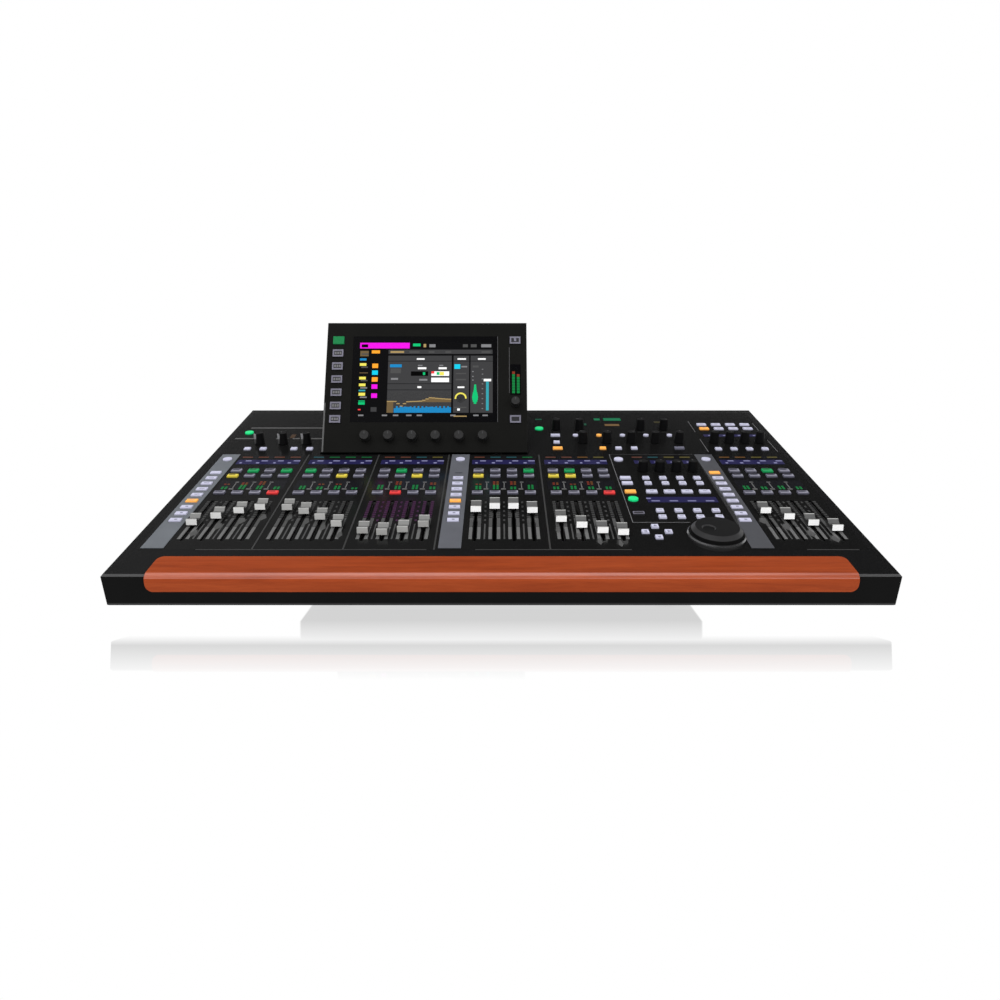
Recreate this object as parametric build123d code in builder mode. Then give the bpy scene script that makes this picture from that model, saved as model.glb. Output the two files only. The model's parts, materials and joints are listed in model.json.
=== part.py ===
"""Digital mixing console: sloped control surface, palm rest, folding touch screen, 24 faders.

Frame: +X to the operator's right, +Y to the rear, +Z up, millimetres.
The origin is on the table, under the middle of the console's footprint.
Most pieces are drawn on PANEL, the sloped top face: its x is the console's X, its y runs
up the slope from the front top edge, and its z is the height above the panel.
"""
from build123d import *
from math import cos, radians, sin, tan
import os

os.makedirs("parts", exist_ok=True)

# ---------------------------------------------------------------- driving dimensions
# Layout across the panel, from its left edge to its right edge
channel_pitch = 23.7
bank_gap = 10.8
strip_margin = 31.6
strip_to_first_bank = 27.0
strip_to_bank = 28.0
bank_to_strip = 34.3
bank_to_custom = 28.5
custom_side_gap = 28.6
custom_to_strip = 29.2
strip_to_last_bank = 29.7
last_margin = 31.9

# Console body
panel_length = 565.0
panel_slope = 13.5
front_edge_y = -285.64
front_edge_z = 55.0
cheek_depth = 31.1
pan_thickness = 3.0
side_lean = 7.7
skin = 3.0
wall = 3.0
edge_break = 1.2
top_break = 2.0
side_rail = 12.0
front_rail = 57.0
rear_rail = 17.0
ledge = 5.0
fit_gap = 0.15

# Base under the middle of the console
base_width = 472.0
base_corner_width = 11.0
base_corner_height = 13.0
base_setback = 40.0
base_front_slant = 14.0
base_rear_y = 289.0
base_rear_step = 8.0
base_wall = 2.0
foot_height = 5.0
foot_diameter = 30.0
foot_inset = 31.0
foot_front_y = -200.0
foot_rear_y = 245.0

# Rear connector bay
bay_rim = 8.0
bay_low_z = 14.0
bay_high_z = 130.0
bay_depth = 10.0
rear_panel_thickness = 2.0

# Palm rest
rest_width = 774.0
rest_x = 0.5
rest_reach = 38.8
rest_drop = 18.5
rest_proud = 1.5
rest_overhang = 5.0
rest_thickness = 8.0
rest_nose = 9.0
rest_corner = 8.0

# Control panel plate
plate = 2.0
strip_width = 26.5
strip_low_v = 60.0
strip_high_v = 353.0
strip_thickness = 0.6
strip_seat = 3.5

# Channel rows, distances up the panel
fader_travel = 100.0
fader_centre_v = 134.5
slot_end = 2.0
slot_width = 3.8
mute_v = 215.0
meter_v = 242.0
solo_v = 271.5
select_v = 290.0
name_v = 324.0
colour_v = 343.0
name_length = 19.0
meter_length = 30.0
colour_length = 5.0
bank_window_width = 92.0

# Keys
key_width = 15.0
small_key_width = 9.8
key_length = 8.8
select_length = 10.0
round_key = 14.0
pan_key = 9.0
key_root = 3.5
key_pressed = 0.6
key_travel = 1.2
key_gap = 0.4
key_draft = 4.0
layer_first_v = 282.0
layer_pitch = 18.75
layer_round_v = 333.0

# Custom control section
custom_knob_v = 292.0
custom_key_vs = (264.0, 246.0, 159.5, 141.5)
custom_wide_v = 218.0
custom_strip_v = 193.5
custom_round_v = 194.5
custom_last_v = 151.0
custom_name_size = (14.0, 13.0)
custom_strip_size = (92.0, 17.0)

# Cursor keys
cursor_from_side = 14.0
cursor_v = 101.0
cursor_step = 14.0
cursor_key = 9.0

# Jog wheel
wheel_from_first = 54.5
wheel_v = 92.2
wheel_diameter = 63.0
wheel_height = 12.2
wheel_gap = 0.8
wheel_shaft = 8.0
wheel_crown = 4.5
dimple_diameter = 17.0
dimple_depth = 1.5
dimple_draft = 45.0
dimple_place = (-11.0, -3.0)
ring_diameter = 69.0
ring_height = 3.5
ring_bevel = 1.5

# Channel strip section, distances from the screen's right side
strip_on = 22.5
strip_keys = 47.0
strip_knobs = 87.5
strip_pan_keys = 79.0
strip_low_keys = 116.0
strip_low_pitch = 24.0
strip_last_key = 233.0
strip_on_v = 468.0
strip_upper_shift = 13.0
strip_knob_pitch = 37.5
strip_knob_v = 405.0
strip_upper_v = 465.0
strip_pan_key_v = 436.0
strip_low_key_v = 379.0

# User section, right rear corner
user_key_vs = (486.5, 467.0)
user_name_v = 436.0
user_name_size = (17.0, 10.0)
user_knob_v = 405.0
user_small_v = 376.0

# Monitor section, left rear corner, distances from the left edge
monitor_knobs = 61.0
monitor_knob_pitch = 36.2
monitor_keys_from_edge = (48.0, 72.0, 119.0, 143.0)
monitor_on = 30.0
monitor_v = 400.0
monitor_small_v = 376.5
monitor_on_v = 448.0

# Knobs
knob_diameter = 15.0
knob_height = 18.0
custom_knob_height = 15.0
knob_sides = 14
round_sides = 12
shaft_sides = 8
wheel_skirt = 2.5
knob_clear = 0.8
knob_draft = 4.0
shaft_diameter = 6.0
shaft_depth = 7.0
running_gap = 0.05

# Fader caps
cap_width = 13.0
cap_length = 20.5
cap_clear = 3.0
cap_height = 10.0
cap_dish = 3.5
cap_ridge = 2.0
cap_floor = 5.0
cap_draft = 1.2
blade_thickness = 2.0
blade_width = 8.0
blade_depth = 14.0
fader_rest = (
    (124, 142, 157, 167),
    (166, 155, 139, 120),
    (102, 98, 105, 119),
    (161, 170, 170, 158),
    (133, 117, 103, 98),
    (157, 140, 123, 109),
)

# Fader mechanisms under the plate
module_width = 17.0
module_length = 143.0
module_depth = 22.0
module_slot = 5.0
module_slot_depth = 17.0

# Screen
screen_margin = 165.0
screen_width = 310.0
screen_height = 211.0
screen_depth = 25.0
screen_open = 52.1
bezel = 4.0
pivot_v = 368.5
pivot_h = -2.1
pivot_up = 4.0
pivot_back = 12.0
pocket_gap = 2.0
pocket_front_v = 353.5
pocket_depth = 19.0
pocket_floor = 2.0
display_width = 224.0
display_height = 140.0
display_x = -2.0
display_up = 118.0
glass = 3.0
side_meter_size = (16.0, 50.0)
side_meter_x = 137.5
side_meter_up = 116.5
encoder_first_x = -89.7
encoder_pitch = 35.4
encoder_up = 24.2
encoder_diameter = 15.5
encoder_height = 13.0
level_diameter = 14.3
level_x = 137.0
level_up = 78.3
screen_key_size = (17.0, 12.5)
screen_key_rise = 1.4
screen_key_x = 137.0
screen_key_top_up = 181.4
screen_key_pitch = 21.45
hinge_spread = 110.0
hinge_ear = 10.0
hinge_ear_radius = 6.0
hinge_gap = 1.0
hinge_pin = 6.0
hinge_pin_length = 26.0
hinge_foot = (26.0, 26.0, 2.5)

# Rear sockets, seen from behind
socket_margin = 21.0
socket_pitch = 30.0
socket_count = 8
input_z = 104.0
output_z = 66.0
jack_z = 34.0
flange_size = (26.0, 31.0)
flange_thickness = 1.6
socket_body = (23.0, 25.0)
socket_depth = 22.0
cup_diameter = 19.0
cup_sides = 12
cup_depth = 14.0
contact_size = 2.4
contact_circle = 4.2
contact_length = 7.0
insert_groove = 1.5
jack_nut = 14.0
nut_sides = 6
jack_body = 11.0
jack_bore = 6.5
jack_depth = 20.0
data_pitch = 32.0
data_mouth = (12.0, 9.0)
data_depth = 14.0
inlet_margin = 27.0
inlet_z = 62.0
inlet_body = (28.0, 48.0)
inlet_mouth = (24.0, 17.0)
inlet_drop = 9.0
switch_rise = 12.5
switch_mouth = (13.4, 18.4)
rocker_size = (13.0, 16.4)
rocker_tilt = 8.0
rocker_edge = 3.0

# Inside
board = 1.6
board_h = -12.0
supply_size = (200.0, 110.0, 45.0)
supply_clear = 4.0
supply_y = 170.0

# ---------------------------------------------------------------- layout worked out
bank_span = 3 * channel_pitch
bank_pitch = bank_span + channel_pitch + bank_gap
strip_1 = strip_margin
bank_1 = strip_1 + strip_to_first_bank
strip_2 = bank_1 + 2 * bank_pitch + bank_span + bank_to_strip
bank_4 = strip_2 + strip_to_bank
custom_side = bank_4 + bank_pitch + bank_span + bank_to_custom
custom_first = custom_side + custom_side_gap
strip_3 = custom_first + bank_span + custom_to_strip
bank_6 = strip_3 + strip_to_last_bank
width = bank_6 + bank_span + last_margin
left = -width / 2

slot_length = fader_travel + blade_width + 2 * slot_end
key_rise = key_pressed + key_travel

strip_xs = (left + strip_1, left + strip_2, left + strip_3)
bank_firsts = (
    left + bank_1,
    left + bank_1 + bank_pitch,
    left + bank_1 + 2 * bank_pitch,
    left + bank_4,
    left + bank_4 + bank_pitch,
    left + bank_6,
)
custom_side_x = left + custom_side
custom_first_x = left + custom_first
cursor_x = custom_side_x + cursor_from_side
wheel_x = custom_first_x + wheel_from_first
screen_x = left + screen_margin + screen_width / 2
section_x = screen_x + screen_width / 2

base_foot_width = base_width - 2 * base_corner_width
bay_width = base_width - 2 * bay_rim
foot_x = base_foot_width / 2 - foot_inset
socket_first_x = -bay_width / 2 + socket_margin
socket_end_x = socket_first_x + (socket_count - 1) * socket_pitch + flange_size[0] / 2
inlet_x = bay_width / 2 - inlet_margin
inlet_start_x = inlet_x - inlet_body[0] / 2 - ledge
data_first_x = (socket_end_x + inlet_start_x) / 2 - data_pitch
supply_x = -base_foot_width / 2 + base_wall + supply_clear + supply_size[0] / 2

# ---------------------------------------------------------------- frames and helpers
slope = radians(panel_slope)
PANEL = Plane(
    origin=(0, front_edge_y, front_edge_z),
    x_dir=(1, 0, 0),
    z_dir=(0, -sin(slope), cos(slope)),
)
screen_tilt = radians(panel_slope + screen_open)
screen_normal = Vector(0, -sin(screen_tilt), cos(screen_tilt))
screen_up = Vector(0, cos(screen_tilt), sin(screen_tilt))
pivot = PANEL.from_local_coords(Vector(screen_x, pivot_v, pivot_h))
SCREEN = Plane(
    origin=pivot - screen_up * pivot_up + screen_normal * pivot_back,
    x_dir=(1, 0, 0),
    z_dir=screen_normal,
)
rear_panel_y = base_rear_y - bay_depth
REAR = Plane(origin=(0, rear_panel_y, 0), x_dir=(-1, 0, 0), z_dir=(0, 1, 0))

slab_depth = cheek_depth + pan_thickness


def side_plane(x):
    """Plane across the slope at x: its x runs up the panel, its y is the height above it."""
    return Plane(
        origin=PANEL.from_local_coords(Vector(x, 0, 0)),
        x_dir=PANEL.y_dir,
        z_dir=PANEL.x_dir,
    )


def side_point(v, h):
    """World (y, z) of the point v up the panel and h above it."""
    point = PANEL.from_local_coords(Vector(0, v, h))
    return (point.Y, point.Z)


def columns(first_x, pitch=channel_pitch, count=4):
    return [first_x + index * pitch for index in range(count)]


def rows(xs, vs):
    return [(x, v) for v in vs for x in xs]


def save(piece, name):
    piece.part.label = name
    export_step(piece.part, f"parts/{name}.step")


all_columns = [x for first in bank_firsts for x in columns(first)]
custom_columns = columns(custom_first_x)
user_columns = columns(bank_firsts[-1])
strip_knob_columns = columns(section_x + strip_knobs, strip_knob_pitch, 5)
bank_centres = [first + bank_span / 2 for first in bank_firsts]
custom_centre = custom_first_x + bank_span / 2

# Key families: places on the panel, width, length; a round key has no length.
channel_keys = [
    (rows(all_columns, [select_v]), key_width, select_length),
    (rows(all_columns, [solo_v, mute_v]), key_width, key_length),
]
layer_vs = [layer_first_v - index * layer_pitch for index in range(9)]
layer_keys = [
    (rows(strip_xs, layer_vs[1:]), key_width, key_length),
    (rows(strip_xs[:1] + strip_xs[2:], layer_vs[:1]), key_width, key_length),
    (rows(strip_xs, [layer_round_v]), round_key, None),
]
custom_keys = [
    (rows(custom_columns, custom_key_vs), small_key_width, key_length),
    (rows(custom_columns, [custom_wide_v]), key_width, key_length),
    (rows([custom_side_x], custom_key_vs[:2] + (custom_wide_v,)), key_width, key_length),
    (rows([custom_side_x], [custom_last_v]), key_width, key_length),
    (rows([custom_side_x], [custom_round_v, layer_round_v]), round_key, None),
]
strip_key_x = section_x + strip_keys
pan_columns = columns(section_x + strip_pan_keys, strip_knob_pitch, 5)
low_columns = columns(section_x + strip_low_keys, strip_low_pitch, 3)
strip_section_keys = [
    (rows([strip_key_x], [strip_pan_key_v, strip_low_key_v]), key_width, key_length),
    (rows([strip_key_x], [strip_knob_v]), small_key_width, key_length),
    (rows([section_x + strip_on], [strip_on_v]), round_key, None),
    (rows(pan_columns, [strip_pan_key_v]), pan_key, None),
    (rows(low_columns, [strip_low_key_v]), small_key_width, key_length),
    (rows([section_x + strip_last_key], [strip_low_key_v]), key_width, key_length),
]
user_keys = [
    (rows(user_columns, user_key_vs), key_width, key_length),
    (rows(user_columns, [user_small_v]), small_key_width, key_length),
]
monitor_key_xs = [left + distance for distance in monitor_keys_from_edge]
monitor_keys = [
    (rows(monitor_key_xs, [monitor_small_v]), small_key_width, key_length),
    (rows([left + monitor_on], [monitor_on_v]), round_key, None),
]
section_keys = custom_keys + strip_section_keys + user_keys + monitor_keys

cursor_places = {
    "up": (cursor_x, cursor_v + cursor_step),
    "down": (cursor_x, cursor_v - cursor_step),
    "left": (cursor_x - cursor_step, cursor_v),
    "right": (cursor_x + cursor_step, cursor_v),
}
cursor_keys = [(list(cursor_places.values()), cursor_key, cursor_key)]

# Window families: places on the panel, width, length.
windows = [
    (rows(bank_centres, [name_v]), bank_window_width, name_length),
    (rows(bank_centres, [colour_v]), bank_window_width, colour_length),
    (rows(bank_centres, [meter_v]), bank_window_width, meter_length),
    (rows(custom_columns, [name_v]), *custom_name_size),
    (rows([custom_centre], [colour_v]), bank_window_width, colour_length),
    (rows([custom_centre], [custom_strip_v]), *custom_strip_size),
    (rows(user_columns, [user_name_v]), *user_name_size),
]

upper_xs = (
    strip_knob_columns[0] - strip_knob_pitch,
    strip_knob_columns[0],
    strip_knob_columns[3] - strip_upper_shift,
    strip_knob_columns[4] - strip_upper_shift,
)
tall_knobs = (
    rows(strip_knob_columns, [strip_knob_v])
    + rows(upper_xs, [strip_upper_v])
    + rows(user_columns, [user_knob_v])
    + rows(columns(left + monitor_knobs, monitor_knob_pitch, 3), [monitor_v])
)
short_knobs = rows(custom_columns, [custom_knob_v])


def draw_keys(families, growth=0.0):
    """Outlines of key families on the sketch in hand, each side grown by half of growth."""
    for places, key_w, key_l in families:
        with Locations(*places):
            if key_l is None:
                RegularPolygon((key_w + growth) / 2, knob_sides)
            else:
                Rectangle(key_w + growth, key_l + growth)


def draw_bores(places, radius, sides=round_sides):
    """Many-sided bores on the sketch in hand, with a circle of this radius clear inside each."""
    with Locations(*places):
        RegularPolygon(radius, sides, major_radius=False)


# ---------------------------------------------------------------- palm rest
def rest_form(growth):
    """Rounded outer form of the palm rest, before it is hollowed over the front rail."""
    with BuildPart() as form:
        with BuildSketch(side_plane(rest_x - rest_width / 2 - growth)):
            with Locations((-rest_overhang, rest_proud)):
                Rectangle(
                    rest_reach + rest_overhang + growth,
                    rest_drop + rest_proud + growth,
                    align=(Align.MIN, Align.MAX),
                )
        extrude(amount=rest_width + 2 * growth)
        slope_edges = form.edges().filter_by(Axis((0, 0, 0), PANEL.y_dir))
        upright_edges = form.edges().filter_by(Axis((0, 0, 0), PANEL.z_dir))
        low_corners = slope_edges.group_by(Axis((0, 0, 0), PANEL.z_dir))[0]
        rear_corners = upright_edges.group_by(Axis((0, 0, 0), PANEL.y_dir))[-1]
        fillet(low_corners + rear_corners, rest_corner + growth)
        nose = form.edges().filter_by(Axis.X).group_by(Axis.Y)[0].sort_by(Axis.Z)[-1]
        fillet(nose, rest_nose)
    return form.part


def rail_core():
    """The part of the front rail that stays inside the palm rest."""
    with BuildPart() as core:
        with BuildSketch(side_plane(-width)):
            with Locations((rest_thickness - rest_overhang, rest_proud - rest_thickness)):
                Rectangle(panel_length, panel_length, align=(Align.MIN, Align.MAX))
        extrude(amount=2 * width)
    return core.part


rest_block = rest_form(0.0)
rest_room = rest_form(fit_gap)
core_block = rail_core()

with BuildPart() as palm_rest:
    add(rest_block)
    add(core_block, mode=Mode.SUBTRACT)
save(palm_rest, "palm_rest")

with BuildPart() as rest_recess:
    add(rest_room)
    add(core_block, mode=Mode.SUBTRACT)

# ---------------------------------------------------------------- top surround
seat_width = width - 2 * side_rail
seat_length = panel_length - front_rail - rear_rail
pocket_width = screen_width + 2 * pocket_gap
pocket_length = panel_length - pocket_front_v
front_skin = rest_thickness + skin


def slab(depth_from, depth_to):
    """Slice of the sloped slab: upright front and sides that lean inwards."""
    with BuildPart() as piece:
        for depth in (depth_from, depth_to):
            half_width = width / 2 - depth * tan(radians(side_lean))
            front_v = -depth * tan(slope)
            with BuildSketch(PANEL.offset(-depth)):
                with BuildLine():
                    Polyline(
                        (-half_width, front_v),
                        (half_width, front_v),
                        (half_width, panel_length),
                        (-half_width, panel_length),
                        close=True,
                    )
                make_face()
        loft()
    return piece.part


cheek_block = slab(0.0, cheek_depth)
cavity_width = width - 2 * (cheek_depth * tan(radians(side_lean)) + wall)

with BuildPart() as top_surround:
    add(cheek_block)
    outline = top_surround.faces().sort_by(Axis((0, 0, 0), PANEL.z_dir))[-1].edges()
    chamfer(outline, top_break)
    with BuildSketch(PANEL.offset(-cheek_depth)):
        with Locations((0, front_rail)):
            Rectangle(
                cavity_width,
                panel_length - front_rail - wall,
                align=(Align.CENTER, Align.MIN),
            )
    extrude(amount=cheek_depth - skin, mode=Mode.SUBTRACT)
    with BuildSketch(PANEL.offset(-cheek_depth)):
        with Locations((0, front_skin)):
            Rectangle(
                cavity_width,
                front_rail - front_skin,
                align=(Align.CENTER, Align.MIN),
            )
    extrude(amount=cheek_depth - front_skin, mode=Mode.SUBTRACT)
    with BuildSketch(PANEL):
        with Locations((0, front_rail)):
            Rectangle(seat_width, seat_length, align=(Align.CENTER, Align.MIN))
    extrude(amount=-plate, mode=Mode.SUBTRACT)
    with BuildSketch(PANEL):
        with Locations((0, front_rail + ledge)):
            Rectangle(
                seat_width - 2 * ledge,
                seat_length - 2 * ledge,
                align=(Align.CENTER, Align.MIN),
            )
    extrude(amount=-skin, mode=Mode.SUBTRACT)
    with BuildSketch(PANEL):
        with Locations((screen_x, pocket_front_v - pocket_floor)):
            Rectangle(
                pocket_width + 2 * pocket_floor,
                pocket_length + pocket_floor,
                align=(Align.CENTER, Align.MIN),
            )
    extrude(amount=-pocket_depth - pocket_floor)
    with BuildSketch(PANEL.offset(-pocket_depth)):
        with Locations((screen_x, pocket_front_v)):
            Rectangle(pocket_width, 2 * pocket_length, align=(Align.CENTER, Align.MIN))
    extrude(amount=2 * pocket_depth, mode=Mode.SUBTRACT)
    add(rest_recess.part, mode=Mode.SUBTRACT)
save(top_surround, "top_surround")

# ---------------------------------------------------------------- control panel
layer_slot_low = layer_vs[-1] - key_length / 2 - key_gap
layer_slot_high = layer_round_v + round_key / 2 + key_gap
layer_slot_v = (layer_slot_low + layer_slot_high) / 2
layer_slot_length = layer_slot_high - layer_slot_low

with BuildPart() as control_panel:
    with BuildSketch(PANEL):
        with Locations((0, front_rail + fit_gap)):
            Rectangle(
                seat_width - 2 * fit_gap,
                seat_length - 2 * fit_gap,
                align=(Align.CENTER, Align.MIN),
            )
        with Locations((screen_x, pocket_front_v - pocket_floor - fit_gap)):
            Rectangle(
                pocket_width + 2 * (pocket_floor + fit_gap),
                panel_length,
                align=(Align.CENTER, Align.MIN),
                mode=Mode.SUBTRACT,
            )
    extrude(amount=-plate)
    with BuildSketch(PANEL):
        draw_keys(channel_keys + section_keys + cursor_keys, 2 * key_gap)
        draw_keys(windows, 2 * fit_gap)
        with Locations(*rows(strip_xs, [layer_slot_v])):
            Rectangle(strip_width - 2 * strip_seat, layer_slot_length)
        with Locations(*rows(all_columns, [fader_centre_v])):
            Rectangle(slot_width, slot_length)
        draw_bores(tall_knobs + short_knobs, shaft_diameter / 2 + key_gap, shaft_sides)
        with Locations((wheel_x, wheel_v)):
            Circle(wheel_shaft / 2 + running_gap)
    extrude(amount=-plate, mode=Mode.SUBTRACT)
save(control_panel, "control_panel")

# ---------------------------------------------------------------- panel trim
with BuildPart() as panel_trim:
    with BuildSketch(PANEL):
        with Locations(*rows(strip_xs, [(strip_low_v + strip_high_v) / 2])):
            Rectangle(strip_width, strip_high_v - strip_low_v)
    extrude(amount=strip_thickness)
    with BuildSketch(PANEL):
        draw_keys(layer_keys, 2 * key_gap)
    extrude(amount=strip_thickness, mode=Mode.SUBTRACT)
    with BuildSketch(PANEL):
        with Locations((wheel_x, wheel_v)):
            Circle(ring_diameter / 2)
            Circle(wheel_diameter / 2 + wheel_gap, mode=Mode.SUBTRACT)
    extrude(amount=ring_height)
    ring_rims = panel_trim.edges().filter_by(GeomType.CIRCLE).sort_by(SortBy.RADIUS)
    chamfer(ring_rims[-2:].sort_by(Axis((0, 0, 0), PANEL.z_dir))[-1], ring_bevel)
save(panel_trim, "panel_trim")

# ---------------------------------------------------------------- display windows
with BuildPart() as display_windows:
    with BuildSketch(PANEL):
        draw_keys(windows)
    extrude(amount=-plate)
save(display_windows, "display_windows")

# ---------------------------------------------------------------- keys that share a node


def key_caps(families):
    """Drafted key caps of some families, rooted below the plate."""
    with BuildPart() as caps:
        with BuildSketch(PANEL.offset(-key_root)):
            draw_keys(families)
        extrude(amount=key_root + key_rise, taper=key_draft)
    return caps


for families, key_node in (
    (channel_keys, "channel_buttons"),
    (layer_keys, "layer_buttons"),
    (section_keys, "section_buttons"),
):
    save(key_caps(families), key_node)

# ---------------------------------------------------------------- cursor keys
for direction, place in cursor_places.items():
    save(key_caps([([place], cursor_key, cursor_key)]), f"cursor_key_{direction}")

# ---------------------------------------------------------------- knobs on the panel


def knob_form(base, places, diameter, height, depth, sides):
    """Knobs of one size standing on a plane: grip with flats and a little draft, and shaft."""
    with BuildPart() as knob:
        with BuildSketch(base.offset(knob_clear)):
            with Locations(*places):
                RegularPolygon(diameter / 2, knob_sides)
        extrude(amount=height - knob_clear, taper=knob_draft)
        with BuildSketch(base.offset(-depth)):
            with Locations(*places):
                RegularPolygon(shaft_diameter / 2, sides)
        extrude(amount=depth + knob_clear)
    return knob


with BuildPart() as section_knobs:
    for places, height in ((tall_knobs, knob_height), (short_knobs, custom_knob_height)):
        add(knob_form(PANEL, places, knob_diameter, height, shaft_depth, shaft_sides).part)
save(section_knobs, "section_knobs")

# ---------------------------------------------------------------- jog wheel
wheel_centre = PANEL.from_local_coords(Vector(wheel_x, wheel_v, 0))
wheel_r = wheel_diameter / 2
with BuildPart() as jog_wheel:
    with BuildSketch(Plane(origin=wheel_centre, x_dir=PANEL.x_dir, z_dir=-PANEL.y_dir)):
        with BuildLine():
            Polyline(
                (0, wheel_height),
                (0, -shaft_depth),
                (wheel_shaft / 2, -shaft_depth),
                (wheel_shaft / 2, knob_clear),
                (wheel_r, knob_clear),
                (wheel_r, knob_clear + wheel_skirt),
                (wheel_r - edge_break, knob_clear + wheel_skirt),
                (wheel_r - edge_break, wheel_height - wheel_crown),
                (wheel_r - edge_break - wheel_crown, wheel_height),
                close=True,
            )
        make_face()
    revolve(axis=Axis(wheel_centre, PANEL.z_dir))
    with BuildSketch(PANEL.offset(wheel_height)):
        with Locations((wheel_x + dimple_place[0], wheel_v + dimple_place[1])):
            RegularPolygon(dimple_diameter / 2, knob_sides)
    extrude(amount=-dimple_depth, taper=dimple_draft, mode=Mode.SUBTRACT)
save(jog_wheel, "jog_wheel")

# ---------------------------------------------------------------- faders


def fader_cap(x, v):
    """Dished fader cap on its blade, at v up the slot at x."""
    with BuildPart() as cap:
        with BuildSketch(side_plane(x - cap_width / 2)):
            with BuildLine():
                foot = cap_length / 2
                top = foot - cap_draft
                Polyline(
                    (v - foot, cap_clear),
                    (v + foot, cap_clear),
                    (v + top, cap_height),
                    (v + top - cap_ridge, cap_height),
                    (v + cap_floor / 2, cap_height - cap_dish),
                    (v - cap_floor / 2, cap_height - cap_dish),
                    (v - top + cap_ridge, cap_height),
                    (v - top, cap_height),
                    close=True,
                )
            make_face()
        extrude(amount=cap_width)
        with BuildSketch(PANEL.offset(-blade_depth)):
            with Locations((x, v)):
                Rectangle(blade_thickness, blade_width)
        extrude(amount=blade_depth + cap_clear)
    return cap


fader_number = 0
for first, rest_places in zip(bank_firsts, fader_rest):
    for x, v in zip(columns(first), rest_places):
        fader_number += 1
        save(fader_cap(x, v), f"fader_cap_{fader_number:02d}")

with BuildPart() as fader_modules:
    with BuildSketch(PANEL.offset(-plate)):
        with Locations(*rows(all_columns, [fader_centre_v])):
            Rectangle(module_width, module_length)
    extrude(amount=-module_depth)
    with BuildSketch(PANEL.offset(-plate)):
        with Locations(*rows(all_columns, [fader_centre_v])):
            Rectangle(module_slot, slot_length)
    extrude(amount=-module_slot_depth, mode=Mode.SUBTRACT)
save(fader_modules, "fader_modules")

# ---------------------------------------------------------------- screen
screen_keys_left = [
    (-screen_key_x, screen_key_top_up - index * screen_key_pitch) for index in range(7)
]
screen_keys_right = [screen_keys_left[0], screen_keys_left[-1]]
screen_key_places = screen_keys_left + [(screen_key_x, up) for _, up in screen_keys_right]
screen_key_family = [(screen_key_places, *screen_key_size)]
encoder_places = [(encoder_first_x + index * encoder_pitch, encoder_up) for index in range(6)]
lens_family = [
    ([(display_x, display_up)], display_width, display_height),
    ([(side_meter_x, side_meter_up)], *side_meter_size),
]
level_places = [(level_x, level_up)]
shaft_places = encoder_places + level_places
encoder_depth = bezel - fit_gap

with BuildPart() as screen_bezel:
    with BuildSketch(SCREEN):
        with Locations((0, screen_height / 2)):
            Rectangle(screen_width, screen_height)
    extrude(amount=-bezel)
    face_rim = screen_bezel.faces().sort_by(Axis((0, 0, 0), SCREEN.z_dir))[-1].edges()
    chamfer(face_rim, edge_break / 2)
    with BuildSketch(SCREEN):
        draw_keys(lens_family, 2 * fit_gap)
        draw_keys(screen_key_family, 2 * key_gap)
        draw_bores(shaft_places, shaft_diameter / 2 + running_gap)
    extrude(amount=-bezel, mode=Mode.SUBTRACT)
save(screen_bezel, "screen_bezel")

HINGE = Plane(origin=pivot, x_dir=PANEL.y_dir, z_dir=PANEL.x_dir)
notch_width = hinge_ear + 2 * hinge_gap
notch_reach = hinge_ear_radius + hinge_gap

with BuildPart() as screen_housing:
    with BuildSketch(SCREEN.offset(-screen_depth)):
        with Locations((0, screen_height / 2)):
            Rectangle(screen_width, screen_height)
    extrude(amount=screen_depth - bezel)
    back_rim = screen_housing.faces().sort_by(Axis((0, 0, 0), SCREEN.z_dir))[0].edges()
    chamfer(back_rim, hinge_ear_radius)
    with BuildSketch(SCREEN.offset(-screen_depth)):
        with Locations((-hinge_spread, 0), (hinge_spread, 0)):
            Rectangle(notch_width, 2 * (pivot_up + notch_reach))
    extrude(amount=screen_depth - pivot_back + notch_reach, mode=Mode.SUBTRACT)
    for side in (-hinge_spread, hinge_spread):
        with BuildSketch(HINGE.offset(side - hinge_pin_length / 2 - running_gap)):
            draw_bores([(0, 0)], hinge_pin / 2 + running_gap)
        extrude(amount=hinge_pin_length + 2 * running_gap, mode=Mode.SUBTRACT)
save(screen_housing, "screen_housing")

with BuildPart() as display_glass:
    with BuildSketch(SCREEN):
        draw_keys(lens_family)
    extrude(amount=-glass)
save(display_glass, "display_glass")

with BuildPart() as screen_buttons:
    with BuildSketch(SCREEN.offset(-bezel)):
        draw_keys(screen_key_family)
    extrude(amount=bezel + screen_key_rise)
save(screen_buttons, "screen_buttons")

for number, place in enumerate(encoder_places, 1):
    encoder = knob_form(
        SCREEN, [place], encoder_diameter, encoder_height, encoder_depth, round_sides
    )
    save(encoder, f"screen_encoder_{number}")

level_knob = knob_form(
    SCREEN, level_places, level_diameter, encoder_height, encoder_depth, round_sides
)
save(level_knob, "screen_level_knob")

# ---------------------------------------------------------------- hinge brackets
foot_w, foot_l, foot_t = hinge_foot
ear_height = pocket_depth + pivot_h
with BuildPart() as hinge_brackets:
    for side in (-hinge_spread, hinge_spread):
        with BuildSketch(HINGE.offset(side - hinge_ear / 2)):
            RegularPolygon(hinge_ear_radius, knob_sides)
            Rectangle(2 * hinge_ear_radius, ear_height, align=(Align.CENTER, Align.MAX))
        extrude(amount=hinge_ear)
        with BuildSketch(HINGE.offset(side - hinge_pin_length / 2)):
            RegularPolygon(hinge_pin / 2, round_sides)
        extrude(amount=hinge_pin_length)
        with BuildSketch(PANEL.offset(-pocket_depth)):
            with Locations((screen_x + side, pivot_v)):
                Rectangle(foot_w, foot_l)
        extrude(amount=foot_t)
save(hinge_brackets, "hinge_brackets")

# ---------------------------------------------------------------- lower chassis


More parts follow.
